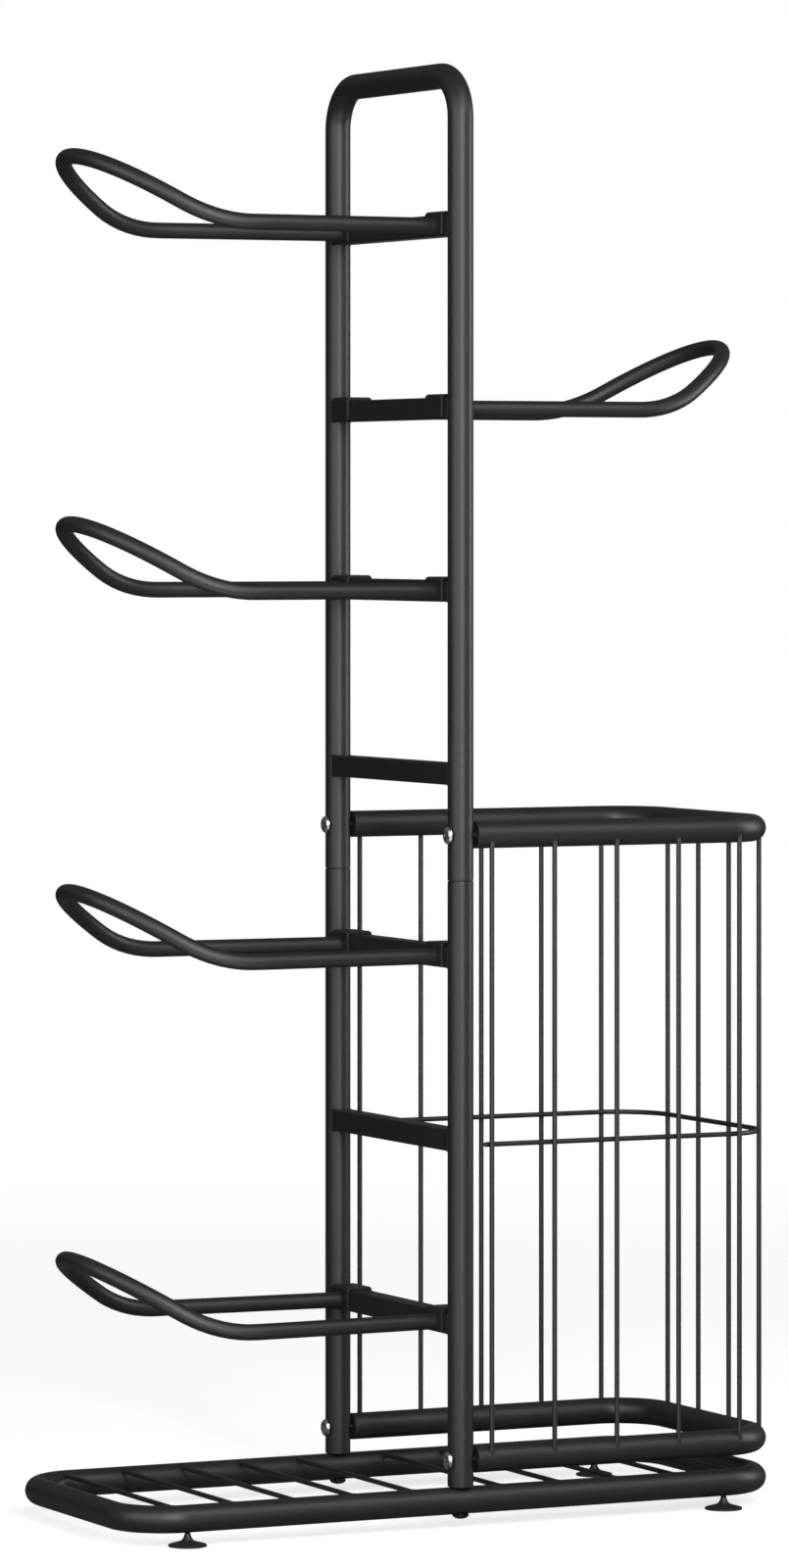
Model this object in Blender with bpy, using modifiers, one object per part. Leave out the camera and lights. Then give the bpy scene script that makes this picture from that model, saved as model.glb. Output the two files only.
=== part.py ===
"""Ball storage rack: a tubular stand with lift-off ball holders on one side and a wire basket on the other.

Metres, +Z up. X runs along the base, with the basket at +X. Y runs to the rear, through the two uprights.
The origin is on the floor under the middle of the base.
"""

import math

import bmesh
import bpy
from mathutils import Matrix, Vector

# Driving sizes of the frame
UPRIGHT_SPACING = 0.280
UPRIGHT_OD = 0.0256
UPRIGHT_WALL = 0.0015
OVERALL_HEIGHT = 1.441
HOOP_BEND_RADIUS = 0.043
SPLIT_HEIGHT = 0.635
NECK_LENGTH = 0.040
NECK_SLEEVE = 0.006

# Driving sizes of the base and its shelf
BASE_TUBE_OD = 0.0268
BASE_TUBE_WALL = 0.0015
BASE_HALF_LENGTH = 0.3485
BASE_CORNER_RADIUS = 0.052
BASE_HEIGHT = 0.0267
WIRE_OD = 0.005
SHELF_WIRES_A_SIDE = 5
SHELF_CENTRE_GAP = 0.0968
SHELF_END_GAP = 0.0421
SHELF_WIRE_DROP = 0.001
SHELF_WIRE_OVERLAP = 0.004

# Driving sizes of the crossbars
CROSSBAR_COUNT = 7
CROSSBAR_SIDE = 0.0215
CROSSBAR_WALL = 0.0015
LOWEST_LEVEL = 0.1998
TOP_LEVEL_DROP = 0.1612

# Driving sizes of a ball holder, and its places: level number and side, -1 on the left and 1 on the right
HOLDER_PLACES = ((1, -1), (2, 1), (3, -1), (5, -1), (7, -1))
HOLDER_TUBE_OD = 0.016
HOLDER_TUBE_WALL = 0.0012
HOLDER_NOSE_INSET = 0.0239
HOLDER_ARM_SPLAY = math.radians(2.7)
HOLDER_STRAIGHT = 0.2014
HOLDER_NOSE_LENGTH = 0.1549
HOLDER_BEND_START = 0.2120
HOLDER_BEND_RADIUS = 0.1333
HOLDER_BEND_ANGLE = math.radians(31.8)
SADDLE_PLATE = 0.003
SADDLE_DEPTH = 0.020
SADDLE_BEND_RADIUS = 0.004
SADDLE_INNER_END = 0.0147
SADDLE_OUTER_END = 0.0508

# Driving sizes of the basket
RIM_TUBE_OD = 0.0268
RIM_TUBE_WALL = 0.0015
TOP_RIM_HEIGHT = 0.680
BOTTOM_RIM_HEIGHT = 0.0663
RIM_FACE = 0.0146
WIRE_INSET = 0.0034
SIDE_WIRES = 5
SIDE_WIRE_START = 0.0295
SIDE_WIRE_END_GAP = 0.0414
END_WIRES = 4
END_WIRE_MARGIN = 0.0425
MID_WIRE_HEIGHT = 0.3755
MID_WIRE_LEAD = 0.006
PLUG_BOSS_OD = 0.009
PLUG_FLANGE = 0.0016
PLUG_DEPTH = 0.020

# Driving sizes of the fasteners
BOLT_OD = 0.0058
BOLT_HEAD_OD = 0.0175
BOLT_HEAD_HEIGHT = 0.0045
BASE_BOLT_HEAD_OD = 0.0165
SOCKET_ACROSS_FLATS = 0.004
SOCKET_DEPTH = 0.0024
RIM_BOLT_GRIP = 0.016
INSERT_TO_RIM_BOLT = 0.0045

# Driving sizes of a levelling foot
FOOT_INSET = 0.0545
FOOT_PAD_OD = 0.0385
FOOT_PAD_EDGE = 0.002
FOOT_STUD_OD = 0.0058

# Clearances
SEAT_GAP = 0.0003
HOLE_CLEARANCE = 0.0004
SADDLE_SIDE_CLEARANCE = 0.0004
FOOT_NECK_CLEARANCE = 0.0011
FOOT_STUD_CLEARANCE = 0.0026

# How finely the round shapes are cut
MAIN_SIDES = 12
HOLDER_SIDES = 10
WIRE_SIDES = 8
BEND_STEPS = 5
NOSE_STEPS = 16
TURNED_STEPS = 14
HOLE_SIDES = 12
COPE_SIDES = 24

# Worked out from the sizes above
RAIL_Y = UPRIGHT_SPACING / 2
UPRIGHT_R = UPRIGHT_OD / 2
UPRIGHT_BORE = UPRIGHT_R - UPRIGHT_WALL
BASE_R = BASE_TUBE_OD / 2
BASE_BORE = BASE_R - BASE_TUBE_WALL
RIM_R = RIM_TUBE_OD / 2
RIM_BORE = RIM_R - RIM_TUBE_WALL
RIM_START = RIM_FACE + PLUG_FLANGE + SEAT_GAP
WIRE_R = WIRE_OD / 2
WIRE_OUTSET = RIM_R - WIRE_INSET
BOLT_R = BOLT_OD / 2
HOLDER_NOSE_HALF = RAIL_Y - HOLDER_NOSE_INSET
HOLDER_R = HOLDER_TUBE_OD / 2
BASE_TOP = BASE_HEIGHT + BASE_R
BASE_UNDERSIDE = BASE_HEIGHT - BASE_R
FOOT_X = BASE_HALF_LENGTH - FOOT_INSET
LEVEL_PITCH = (OVERALL_HEIGHT - TOP_LEVEL_DROP - LOWEST_LEVEL) / (CROSSBAR_COUNT - 1)

SCENE = bpy.context.scene


def clear_scene():
    for old in list(bpy.data.objects):
        bpy.data.objects.remove(old, do_unlink=True)


def new_collection(name):
    collection = bpy.data.collections.new(name)
    SCENE.collection.children.link(collection)
    return collection


def new_material(name, colour, roughness, metallic):
    material = bpy.data.materials.new(name)
    material.use_nodes = True
    shader = material.node_tree.nodes["Principled BSDF"]
    shader.inputs["Base Color"].default_value = (*colour, 1.0)
    shader.inputs["Roughness"].default_value = roughness
    shader.inputs["Metallic"].default_value = metallic
    return material


clear_scene()
PARTS = new_collection("ball_storage_rack")
CUTTERS = new_collection("cutters")
CUTTERS.hide_render = True
POWDER_TUBE = new_material("black_powder_coat_tube", (0.022, 0.022, 0.024), 0.42, 0.0)
POWDER_WIRE = new_material("black_powder_coat_wire", (0.020, 0.020, 0.022), 0.45, 0.0)
POWDER_PLATE = new_material("black_powder_coat_plate", (0.018, 0.018, 0.020), 0.48, 0.0)
BLACK_PLASTIC = new_material("black_plastic", (0.025, 0.025, 0.027), 0.55, 0.0)
ZINC_STEEL = new_material("zinc_plated_steel", (0.62, 0.60, 0.57), 0.28, 1.0)
BLACK_STEEL = new_material("blackened_steel", (0.060, 0.060, 0.062), 0.35, 1.0)


# Making and finishing objects


def own_mesh(obj):
    """The evaluated shape of an object as one plain mesh object, with the caps of a curve welded on."""
    bpy.context.view_layer.update()
    graph = bpy.context.evaluated_depsgraph_get()
    mesh = bpy.data.meshes.new_from_object(obj.evaluated_get(graph))
    plain = bpy.data.objects.new(obj.name, mesh)
    plain.matrix_world = obj.matrix_world.copy()
    for collection in obj.users_collection:
        collection.objects.link(plain)
    bpy.data.objects.remove(obj, do_unlink=True)
    weld_points(mesh)
    return plain


def weld_points(mesh):
    shape = bmesh.new()
    shape.from_mesh(mesh)
    bmesh.ops.remove_doubles(shape, verts=shape.verts, dist=0.00001)
    bmesh.ops.recalc_face_normals(shape, faces=shape.faces)
    shape.to_mesh(mesh)
    shape.free()


def finish(obj, name, material, smooth_angle=40):
    """Gives a part its name, its material and smooth shading over its round faces."""
    obj.name = name
    obj.data.materials.clear()
    obj.data.materials.append(material)
    obj.data.shade_smooth()
    obj.data.set_sharp_from_angle(angle=math.radians(smooth_angle))
    return obj


def as_cutter(obj):
    for collection in list(obj.users_collection):
        collection.objects.unlink(obj)
    CUTTERS.objects.link(obj)
    obj.hide_render = True
    obj.display_type = "WIRE"
    return obj


def boolean(obj, other, operation):
    modifier = obj.modifiers.new(operation.lower(), "BOOLEAN")
    modifier.operation = operation
    modifier.solver = "EXACT"
    modifier.object = as_cutter(other)


def cut(obj, *cutters):
    for cutter in cutters:
        boolean(obj, cutter, "DIFFERENCE")
    return obj


def copy_of(obj, name):
    twin = obj.copy()
    twin.data = obj.data.copy()
    twin.name = name
    PARTS.objects.link(twin)
    return twin


def path_curve(name, points, radius, sides, cyclic=False, caps=True):
    """A round bar along a chain of points, as a curve with a bevel."""
    curve = bpy.data.curves.new(name, "CURVE")
    curve.dimensions = "3D"
    curve.twist_mode = "MINIMUM"
    curve.bevel_depth = radius
    curve.bevel_resolution = (sides - 4) // 2
    curve.use_fill_caps = caps and not cyclic
    spline = curve.splines.new("POLY")
    spline.points.add(len(points) - 1)
    for spot, point in zip(spline.points, points):
        spot.co = (*point, 1.0)
    spline.use_cyclic_u = cyclic
    obj = bpy.data.objects.new(name, curve)
    PARTS.objects.link(obj)
    return obj


def bar(name, points, radius, sides, cyclic=False):
    return own_mesh(path_curve(name, points, radius, sides, cyclic))


def open_tube(name, points, radius, wall, sides):
    """A tube with open ends: the outer skin along the path, thickened inwards by its wall."""
    skin = own_mesh(path_curve(name, points, radius, sides, caps=False))
    solidify = skin.modifiers.new("wall", "SOLIDIFY")
    solidify.thickness = wall
    solidify.offset = -1
    return own_mesh(skin)


def cylinder(name, radius, start, end, sides=COPE_SIDES):
    """A round bar between two points."""
    start, end = Vector(start), Vector(end)
    bpy.ops.mesh.primitive_cylinder_add(vertices=sides, radius=radius, depth=(end - start).length)
    obj = bpy.context.object
    obj.name = name
    obj.data.transform((end - start).to_track_quat("Z", "Y").to_matrix().to_4x4())
    obj.data.transform(Matrix.Translation((start + end) / 2))
    for collection in list(obj.users_collection):
        collection.objects.unlink(obj)
    PARTS.objects.link(obj)
    return obj


def block(name, low, high):
    low, high = Vector(low), Vector(high)
    bpy.ops.mesh.primitive_cube_add(size=1)
    obj = bpy.context.object
    obj.name = name
    obj.data.transform(Matrix.Translation((low + high) / 2) @ Matrix.Diagonal((*(high - low), 1)))
    for collection in list(obj.users_collection):
        collection.objects.unlink(obj)
    PARTS.objects.link(obj)
    return obj


def turned(name, profile, steps=TURNED_STEPS):
    """A turned piece about Z from (radius, height) points that run down its outer side."""
    mesh = bpy.data.meshes.new(name)
    points = [(radius, 0.0, height) for radius, height in profile]
    mesh.from_pydata(points, [(i, i + 1) for i in range(len(points) - 1)], [])
    obj = bpy.data.objects.new(name, mesh)
    PARTS.objects.link(obj)
    screw = obj.modifiers.new("turn", "SCREW")
    screw.steps = steps
    screw.render_steps = steps
    screw.use_merge_vertices = True
    screw.merge_threshold = 0.00001
    return own_mesh(obj)


def turned_ring(name, profile, steps=TURNED_STEPS):
    """A turned ring: its profile comes back to its first point."""
    return turned(name, [*profile, profile[0]], steps)


def corner(centre, radius, first, last, steps=BEND_STEPS):
    """Points along an arc in a plane, between two angles in degrees."""
    angles = [math.radians(first + (last - first) * i / steps) for i in range(steps + 1)]
    return [(centre[0] + radius * math.cos(a), centre[1] + radius * math.sin(a)) for a in angles]


def clear_of_bore(radius):
    """The radius of a round piece that fits a bore of MAIN_SIDES flat sides."""
    return radius * math.cos(math.pi / MAIN_SIDES) - SEAT_GAP


# The outline that the base and the basket's right-hand end share


def rounded_end(outset=0.0):
    """Plan points of the right-hand end, front corner first, this far outside the tube's centre line."""
    centre_x = BASE_HALF_LENGTH - BASE_CORNER_RADIUS
    centre_y = RAIL_Y - BASE_CORNER_RADIUS
    radius = BASE_CORNER_RADIUS + outset
    return corner((centre_x, -centre_y), radius, -90, 0) + corner((centre_x, centre_y), radius, 0, 90)


def side_of_outline(x, outset):
    """How far from the X axis the outline runs at this X."""
    along = x - (BASE_HALF_LENGTH - BASE_CORNER_RADIUS)
    radius = BASE_CORNER_RADIUS + outset
    if along <= 0:
        return RAIL_Y + outset
    return RAIL_Y - BASE_CORNER_RADIUS + math.sqrt(radius**2 - along**2)


def end_of_outline(y, outset):
    """How far along X the right-hand end of the outline runs at this Y."""
    along = abs(y) - (RAIL_Y - BASE_CORNER_RADIUS)
    radius = BASE_CORNER_RADIUS + outset
    if along <= 0:
        return BASE_HALF_LENGTH + outset
    return BASE_HALF_LENGTH - BASE_CORNER_RADIUS + math.sqrt(radius**2 - along**2)


# Base frame: one bent tube loop with the shelf wires welded across it


def base_loop(name, radius):
    right = rounded_end()
    left = [(-x, -y) for x, y in right]
    return bar(name, [(x, y, BASE_HEIGHT) for x, y in right + left], radius, MAIN_SIDES, cyclic=True)


def shelf_wire_places():
    first = SHELF_CENTRE_GAP / 2
    pitch = (BASE_HALF_LENGTH - SHELF_END_GAP - first) / (SHELF_WIRES_A_SIDE - 1)
    places = [first + pitch * index for index in range(SHELF_WIRES_A_SIDE)]
    return [-x for x in reversed(places)] + places


def shelf_wires():
    """All the shelf wires as one helper, each reaching over the tube's inner shoulder."""
    height = BASE_TOP - SHELF_WIRE_DROP - WIRE_R
    made = []
    for index, x in enumerate(shelf_wire_places()):
        reach = side_of_outline(abs(x), 0.0) - SHELF_WIRE_OVERLAP
        ends = [(x, -reach, height), (x, reach, height)]
        made.append(bar(f"shelf_wire_{index}", ends, WIRE_R, WIRE_SIDES))
    return made


def make_base_frame():
    frame = base_loop("base_frame", BASE_R)
    for wire in shelf_wires():
        boolean(frame, wire, "UNION")
    cut(frame, base_loop("base_bore", BASE_BORE))
    for x, y in foot_places().values():
        low = (x, y, BASE_UNDERSIDE - BASE_R)
        high = (x, y, BASE_HEIGHT)
        cut(frame, cylinder("foot_hole", FOOT_STUD_OD / 2 + HOLE_CLEARANCE, low, high, HOLE_SIDES))
    for y in (-RAIL_Y, RAIL_Y):
        low = (0, y, BASE_UNDERSIDE - BASE_R)
        high = (0, y, BASE_TOP + BASE_R)
        cut(frame, cylinder("base_bolt_hole", BOLT_R + HOLE_CLEARANCE, low, high, HOLE_SIDES))
    finish(own_mesh(frame), "base_frame", POWDER_TUBE)


# Levelling feet: a stud with a wide pad


def foot_places():
    """Plan place of each foot, by its name."""
    y = side_of_outline(FOOT_X, 0.0)
    places = {}
    for side, x in (("left", -FOOT_X), ("right", FOOT_X)):
        places[f"levelling_foot_front_{side}"] = (x, -y)
        places[f"levelling_foot_rear_{side}"] = (x, y)
    return places


def foot_profile():
    """Stud, hollow cone and rim of a foot, from the top down its outer side."""
    stud = FOOT_STUD_OD / 2
    pad = FOOT_PAD_OD / 2
    stud_top = BASE_HEIGHT + BASE_BORE - FOOT_STUD_CLEARANCE
    neck = BASE_UNDERSIDE - FOOT_NECK_CLEARANCE
    rise = neck - FOOT_PAD_EDGE
    spread = pad - stud
    return [
        (0, stud_top),
        (stud, stud_top),
        (stud, neck),
        (stud + spread * 0.09, FOOT_PAD_EDGE + rise * 0.60),
        (stud + spread * 0.28, FOOT_PAD_EDGE + rise * 0.28),
        (stud + spread * 0.60, FOOT_PAD_EDGE + rise * 0.12),
        (pad, FOOT_PAD_EDGE),
        (pad, 0),
        (0, 0),
    ]


def make_levelling_feet():
    for name, (x, y) in foot_places().items():
        foot = finish(turned(name, foot_profile()), name, BLACK_PLASTIC)
        foot.location = (x, y, 0)


# Uprights: two lower tubes, and one tube bent into a hoop above them


def bolt_hole(height, y):
    reach = UPRIGHT_OD
    return cylinder("bolt_hole", BOLT_R + HOLE_CLEARANCE, (-reach, y, height), (reach, y, height), HOLE_SIDES)


def rim_bolt_holes(y):
    return bolt_hole(TOP_RIM_HEIGHT, y), bolt_hole(BOTTOM_RIM_HEIGHT, y)


def make_lower_upright(name, y):
    """A tube cut square at both ends, standing on the crest of the base tube."""
    ends = [(0, y, BASE_TOP + SEAT_GAP), (0, y, SPLIT_HEIGHT)]
    tube = open_tube(name, ends, UPRIGHT_R, UPRIGHT_WALL, MAIN_SIDES)
    cut(tube, *rim_bolt_holes(y))
    finish(own_mesh(tube), name, POWDER_TUBE)


def hoop_neck(name, y):
    """The narrower end of the hoop that slips into the lower tube, with the part that joins it to the hoop."""
    shoulder = SPLIT_HEIGHT + SEAT_GAP
    outer = clear_of_bore(UPRIGHT_BORE)
    inner = outer - UPRIGHT_WALL
    in_wall = UPRIGHT_R - UPRIGHT_WALL / 2
    top = shoulder + NECK_SLEEVE
    step = shoulder + UPRIGHT_WALL
    bottom = SPLIT_HEIGHT - NECK_LENGTH
    profile = [(inner, top), (in_wall, top), (in_wall, step), (outer, step), (outer, bottom), (inner, bottom)]
    neck = turned_ring(name, profile, MAIN_SIDES)
    neck.data.transform(Matrix.Translation((0, y, 0)))
    return neck


def make_upper_hoop():
    top = OVERALL_HEIGHT - UPRIGHT_R
    bend_y = RAIL_Y - HOOP_BEND_RADIUS
    bend_z = top - HOOP_BEND_RADIUS
    start = SPLIT_HEIGHT + SEAT_GAP
    outline = [(-RAIL_Y, start)]
    outline += corner((-bend_y, bend_z), HOOP_BEND_RADIUS, 180, 90)
    outline += corner((bend_y, bend_z), HOOP_BEND_RADIUS, 90, 0)
    outline += [(RAIL_Y, start)]
    hoop = open_tube("upper_hoop", [(0, y, z) for y, z in outline], UPRIGHT_R, UPRIGHT_WALL, MAIN_SIDES)
    for y in (-RAIL_Y, RAIL_Y):
        boolean(hoop, hoop_neck("neck", y), "UNION")
        cut(hoop, *rim_bolt_holes(y))
    finish(own_mesh(hoop), "upper_hoop", POWDER_TUBE)


# Crossbars: square tube, its ends coped round the uprights


def level_height(level):
    return LOWEST_LEVEL + LEVEL_PITCH * (CROSSBAR_COUNT - level)


def make_crossbars():
    half = CROSSBAR_SIDE / 2
    bore = half - CROSSBAR_WALL
    master = block("crossbar_master", (-half, -RAIL_Y, -half), (half, RAIL_Y, half))
    cut(master, block("crossbar_bore", (-bore, -RAIL_Y * 1.1, -bore), (bore, RAIL_Y * 1.1, bore)))
    for y in (-RAIL_Y, RAIL_Y):
        cut(master, cylinder("upright_cope", UPRIGHT_R + SEAT_GAP, (0, y, -half * 2), (0, y, half * 2)))
    master = own_mesh(master)
    for level in range(1, CROSSBAR_COUNT + 1):
        crossbar = finish(copy_of(master, f"crossbar_{level}"), f"crossbar_{level}", POWDER_PLATE)
        crossbar.location = (0, 0, level_height(level))
    bpy.data.objects.remove(master, do_unlink=True)


# Ball holders: a tube loop on two saddles that drop over a crossbar


def saddle_outer_half():
    return CROSSBAR_SIDE / 2 + SADDLE_SIDE_CLEARANCE + SADDLE_PLATE


def holder_rise(x):
    """How far the loop's centre line has climbed at this distance from the crossbar."""
    arc_end = HOLDER_BEND_START + HOLDER_BEND_RADIUS * math.sin(HOLDER_BEND_ANGLE)
    in_arc = min(max(x - HOLDER_BEND_START, 0), arc_end - HOLDER_BEND_START)
    rise = HOLDER_BEND_RADIUS - math.sqrt(HOLDER_BEND_RADIUS**2 - in_arc**2)
    return rise + max(x - arc_end, 0) * math.tan(HOLDER_BEND_ANGLE)


def holder_path():
    """The loop to the left of its crossbar: two straight arms that splay a little, and an elliptical nose
    that climbs. The nose goes round past half a turn, to where it runs at the angle of the arms."""
    slope = math.tan(HOLDER_ARM_SPLAY)
    past = math.atan(slope * HOLDER_NOSE_LENGTH / HOLDER_NOSE_HALF)
    nose = []
    for step in range(NOSE_STEPS + 1):
        turn = (math.pi + 2 * past) * step / NOSE_STEPS - past
        x = HOLDER_STRAIGHT + HOLDER_NOSE_LENGTH * math.sin(turn)
        nose.append((x, -HOLDER_NOSE_HALF * math.cos(turn)))
    start = saddle_outer_half() + SEAT_GAP
    square_end = start + HOLDER_R / 4
    arm_y = -nose[0][1] - (nose[0][0] - square_end) * slope
    plan = [(start, -arm_y), (square_end, -arm_y), *nose, (square_end, arm_y), (start, arm_y)]
    return [(-x, y, holder_rise(x)) for x, y in plan]


def saddle_outline():
    """Section of the bent plate, an inverted U, with its outer bends rounded."""
    inner = CROSSBAR_SIDE / 2 + SADDLE_SIDE_CLEARANCE
    outer = inner + SADDLE_PLATE
    roof = CROSSBAR_SIDE / 2 + SEAT_GAP
    top = roof + SADDLE_PLATE
    bottom = roof - SADDLE_DEPTH
    bend = SADDLE_BEND_RADIUS
    points = [(outer, bottom)]
    points += corner((outer - bend, top - bend), bend, 0, 90, 3)
    points += corner((bend - outer, top - bend), bend, 90, 180, 3)
    points += [(-outer, bottom), (-inner, bottom), (-inner, roof), (inner, roof), (inner, bottom)]
    return points


def extruded(name, outline, length):
    """A flat outline in X and Z, extruded this far along Y about its own plane."""
    curve = bpy.data.curves.new(name, "CURVE")
    curve.dimensions = "2D"
    curve.fill_mode = "BOTH"
    curve.extrude = length / 2
    spline = curve.splines.new("POLY")
    spline.points.add(len(outline) - 1)
    for spot, (x, z) in zip(spline.points, outline):
        spot.co = (x, z, 0, 1)
    spline.use_cyclic_u = True
    obj = bpy.data.objects.new(name, curve)
    PARTS.objects.link(obj)
    obj = own_mesh(obj)
    obj.data.transform(Matrix.Rotation(math.pi / 2, 4, "X"))
    return obj


def make_rear_saddle():
    """The saddle by the rear upright, a short channel that stops clear of it."""
    middle = RAIL_Y - (SADDLE_INNER_END + SADDLE_OUTER_END) / 2
    saddle = extruded("saddle_master", saddle_outline(), SADDLE_OUTER_END - SADDLE_INNER_END)
    saddle.data.transform(Matrix.Translation((0, middle, 0)))
    return saddle


def make_holders():
    loop = open_tube("loop_master", holder_path(), HOLDER_R, HOLDER_TUBE_WALL, HOLDER_SIDES)
    saddle = make_rear_saddle()
    for level, side in HOLDER_PLACES:
        seat = bpy.data.objects.new(f"holder_seat_{level}", None)
        PARTS.objects.link(seat)
        seat.location = (0, 0, level_height(level))
        seat.rotation_euler.z = math.pi if side > 0 else 0
        name = f"ball_holder_{level}"
        finish(copy_of(loop, name), name, POWDER_TUBE).parent = seat
        for end in ("front", "rear"):
            name = f"holder_saddle_{level}_{end}"
            piece = finish(copy_of(saddle, name), name, POWDER_PLATE)
            piece.parent = seat
            turned_round = (end == "front") != (side > 0)
            piece.rotation_euler.z = math.pi if turned_round else 0
    bpy.data.objects.remove(loop, do_unlink=True)
    bpy.data.objects.remove(saddle, do_unlink=True)


# Basket: two bent rims bolted to the uprights, and wires between them


def rim_path(height):
    outline = [(RIM_START, -RAIL_Y), *rounded_end(), (RIM_START, RAIL_Y)]
    return [(x, y, height) for x, y in outline]


def rim_clearance(height):
    outline = rim_path(height)
    return bar("rim_clearance", outline, RIM_R + SEAT_GAP, MAIN_SIDES)


def make_rims():
    for name, height in (("basket_top_rim", TOP_RIM_HEIGHT), ("basket_bottom_rim", BOTTOM_RIM_HEIGHT)):
        finish(open_tube(name, rim_path(height), RIM_R, RIM_TUBE_WALL, MAIN_SIDES), name, POWDER_TUBE)


def basket_wire_places():
    """Name and plan place of each upright wire, a wire's outset outside the rims' centre line."""
    side_pitch = (BASE_HALF_LENGTH - SIDE_WIRE_END_GAP - SIDE_WIRE_START) / (SIDE_WIRES - 1)
    end_pitch = 2 * (RAIL_Y - END_WIRE_MARGIN) / (END_WIRES - 1)
    places = []
    for index in range(SIDE_WIRES):
        x = SIDE_WIRE_START + side_pitch * index
        y = side_of_outline(x, WIRE_OUTSET)
        places.append((f"basket_wire_front_{index + 1}", x, -y))
        places.append((f"basket_wire_rear_{index + 1}", x, y))
    for index in range(END_WIRES):
        y = end_pitch * (index - (END_WIRES - 1) / 2)
        places.append((f"basket_wire_end_{index + 1}", end_of_outline(y, WIRE_OUTSET), y))
    return places


def make_basket_wires():
    rims = [rim_clearance(height) for height in (TOP_RIM_HEIGHT, BOTTOM_RIM_HEIGHT)]
    for name, x, y in basket_wire_places():
        ends = [(x, y, BOTTOM_RIM_HEIGHT), (x, y, TOP_RIM_HEIGHT)]
        wire = cut(bar(name, ends, WIRE_R, WIRE_SIDES), *rims)
        finish(own_mesh(wire), name, POWDER_WIRE)


def make_mid_wire():
    """One wire bent round the inside of the upright wires."""
    outset = WIRE_OUTSET - WIRE_OD - SEAT_GAP
    start = SIDE_WIRE_START - MID_WIRE_LEAD
    side = RAIL_Y + outset
    outline = [(start, -side), *rounded_end(outset), (start, side)]
    points = [(x, y, MID_WIRE_HEIGHT) for x, y in outline]
    finish(bar("basket_mid_wire", points, WIRE_R, WIRE_SIDES), "basket_mid_wire", POWDER_WIRE)


def make_rim_plug(name, y, height):
    """The threaded plug in a rim's end: a body in the tube, a flange on its end and a boss on the upright."""
    boss = PLUG_BOSS_OD / 2
    body = clear_of_bore(RIM_BORE)
    hole = BOLT_R + SEAT_GAP
    back = RIM_FACE + PLUG_FLANGE
    end = back + PLUG_DEPTH
    profile = [(hole, end), (body, end), (body, back), (RIM_R, back), (RIM_R, RIM_FACE), (boss, RIM_FACE)]
    plug = turned_ring(name, [*profile, (boss, 0), (hole, 0)])
    plug.data.transform(Matrix.Translation((0, y, height)) @ Matrix.Rotation(math.pi / 2, 4, "Y"))
    upright = cylinder("plug_cope", UPRIGHT_R + SEAT_GAP, (0, y, height - RIM_R), (0, y, height + RIM_R))
    finish(own_mesh(cut(plug, upright)), name, BLACK_PLASTIC)


def domed_bolt(name, head_od, length):
    """A domed bolt along Z, its head's underside at the origin and its shank below."""
    head = head_od / 2
    dome = [(head * 0.55, BOLT_HEAD_HEIGHT), (head * 0.85, BOLT_HEAD_HEIGHT * 0.66), (head, BOLT_HEAD_HEIGHT * 0.22)]
    profile = [(0, BOLT_HEAD_HEIGHT), *dome, (head, 0), (BOLT_R, 0), (BOLT_R, -length), (0, -length)]
    bolt = turned(name, profile)
    socket_top = BOLT_HEAD_HEIGHT * 2
    socket_low = BOLT_HEAD_HEIGHT - SOCKET_DEPTH
    corner_radius = SOCKET_ACROSS_FLATS / math.sqrt(3)
    cut(bolt, cylinder("socket", corner_radius, (0, 0, socket_low), (0, 0, socket_top), 6))
    return own_mesh(bolt)


def make_rim_fixings():
    """A plug in each rim's end, and the bolt that comes to it through the upright."""
    seat = UPRIGHT_R + SEAT_GAP
    shank = seat + RIM_FACE + RIM_BOLT_GRIP
    for rim, height in (("top", TOP_RIM_HEIGHT), ("bottom", BOTTOM_RIM_HEIGHT)):
        for end, y in (("front", -RAIL_Y), ("rear", RAIL_Y)):
            make_rim_plug(f"rim_plug_{rim}_{end}", y, height)
            name = f"rim_bolt_{rim}_{end}"
            bolt = domed_bolt(name, BOLT_HEAD_OD, shank)
            bolt.data.transform(Matrix.Rotation(-math.pi / 2, 4, "Y"))
            finish(bolt, name, ZINC_STEEL).location = (-seat, y, height)


# What holds the uprights to the base: a threaded insert in each upright and a bolt from below


def make_upright_fixing(end, y):
    low = BASE_TOP + SEAT_GAP
    high = BOTTOM_RIM_HEIGHT - BOLT_R - INSERT_TO_RIM_BOLT
    outer = clear_of_bore(UPRIGHT_BORE)
    hole = BOLT_R + SEAT_GAP
    name = f"upright_insert_{end}"
    insert = turned_ring(name, [(hole, high), (outer, high), (outer, low), (hole, low)])
    finish(insert, name, BLACK_STEEL).location = (0, y, 0)
    seat = BASE_UNDERSIDE - SEAT_GAP
    name = f"base_bolt_{end}"
    bolt = domed_bolt(name, BASE_BOLT_HEAD_OD, high - BOLT_R - seat)
    bolt.data.transform(Matrix.Rotation(math.pi, 4, "X"))
    finish(bolt, name, BLACK_STEEL).location = (0, y, seat)


def build():
    make_base_frame()
    make_levelling_feet()
    for end, y in (("front", -RAIL_Y), ("rear", RAIL_Y)):
        make_lower_upright(f"lower_upright_{end}", y)
        make_upright_fixing(end, y)
    make_upper_hoop()
    make_crossbars()
    make_holders()
    make_rims()
    make_basket_wires()
    make_mid_wire()
    make_rim_fixings()
    bpy.context.view_layer.update()


build()
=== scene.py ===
# %% [markdown]
# # A ball storage rack in black powder coat
#
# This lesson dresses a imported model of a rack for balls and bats. The model gives every size and place, and
# the cells below turn its many-sided tubes into round ones, add the welds and threads that a maker would
# see, and give each surface its finish. Tubes, wires, welds and threads all follow a path or repeat, so
# they come from a few Geometry Nodes trees, and the rest is turned or bent in ordinary mesh code.

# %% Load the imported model
import math

import bmesh
import bpy
from mathutils import Matrix, Vector


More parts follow.
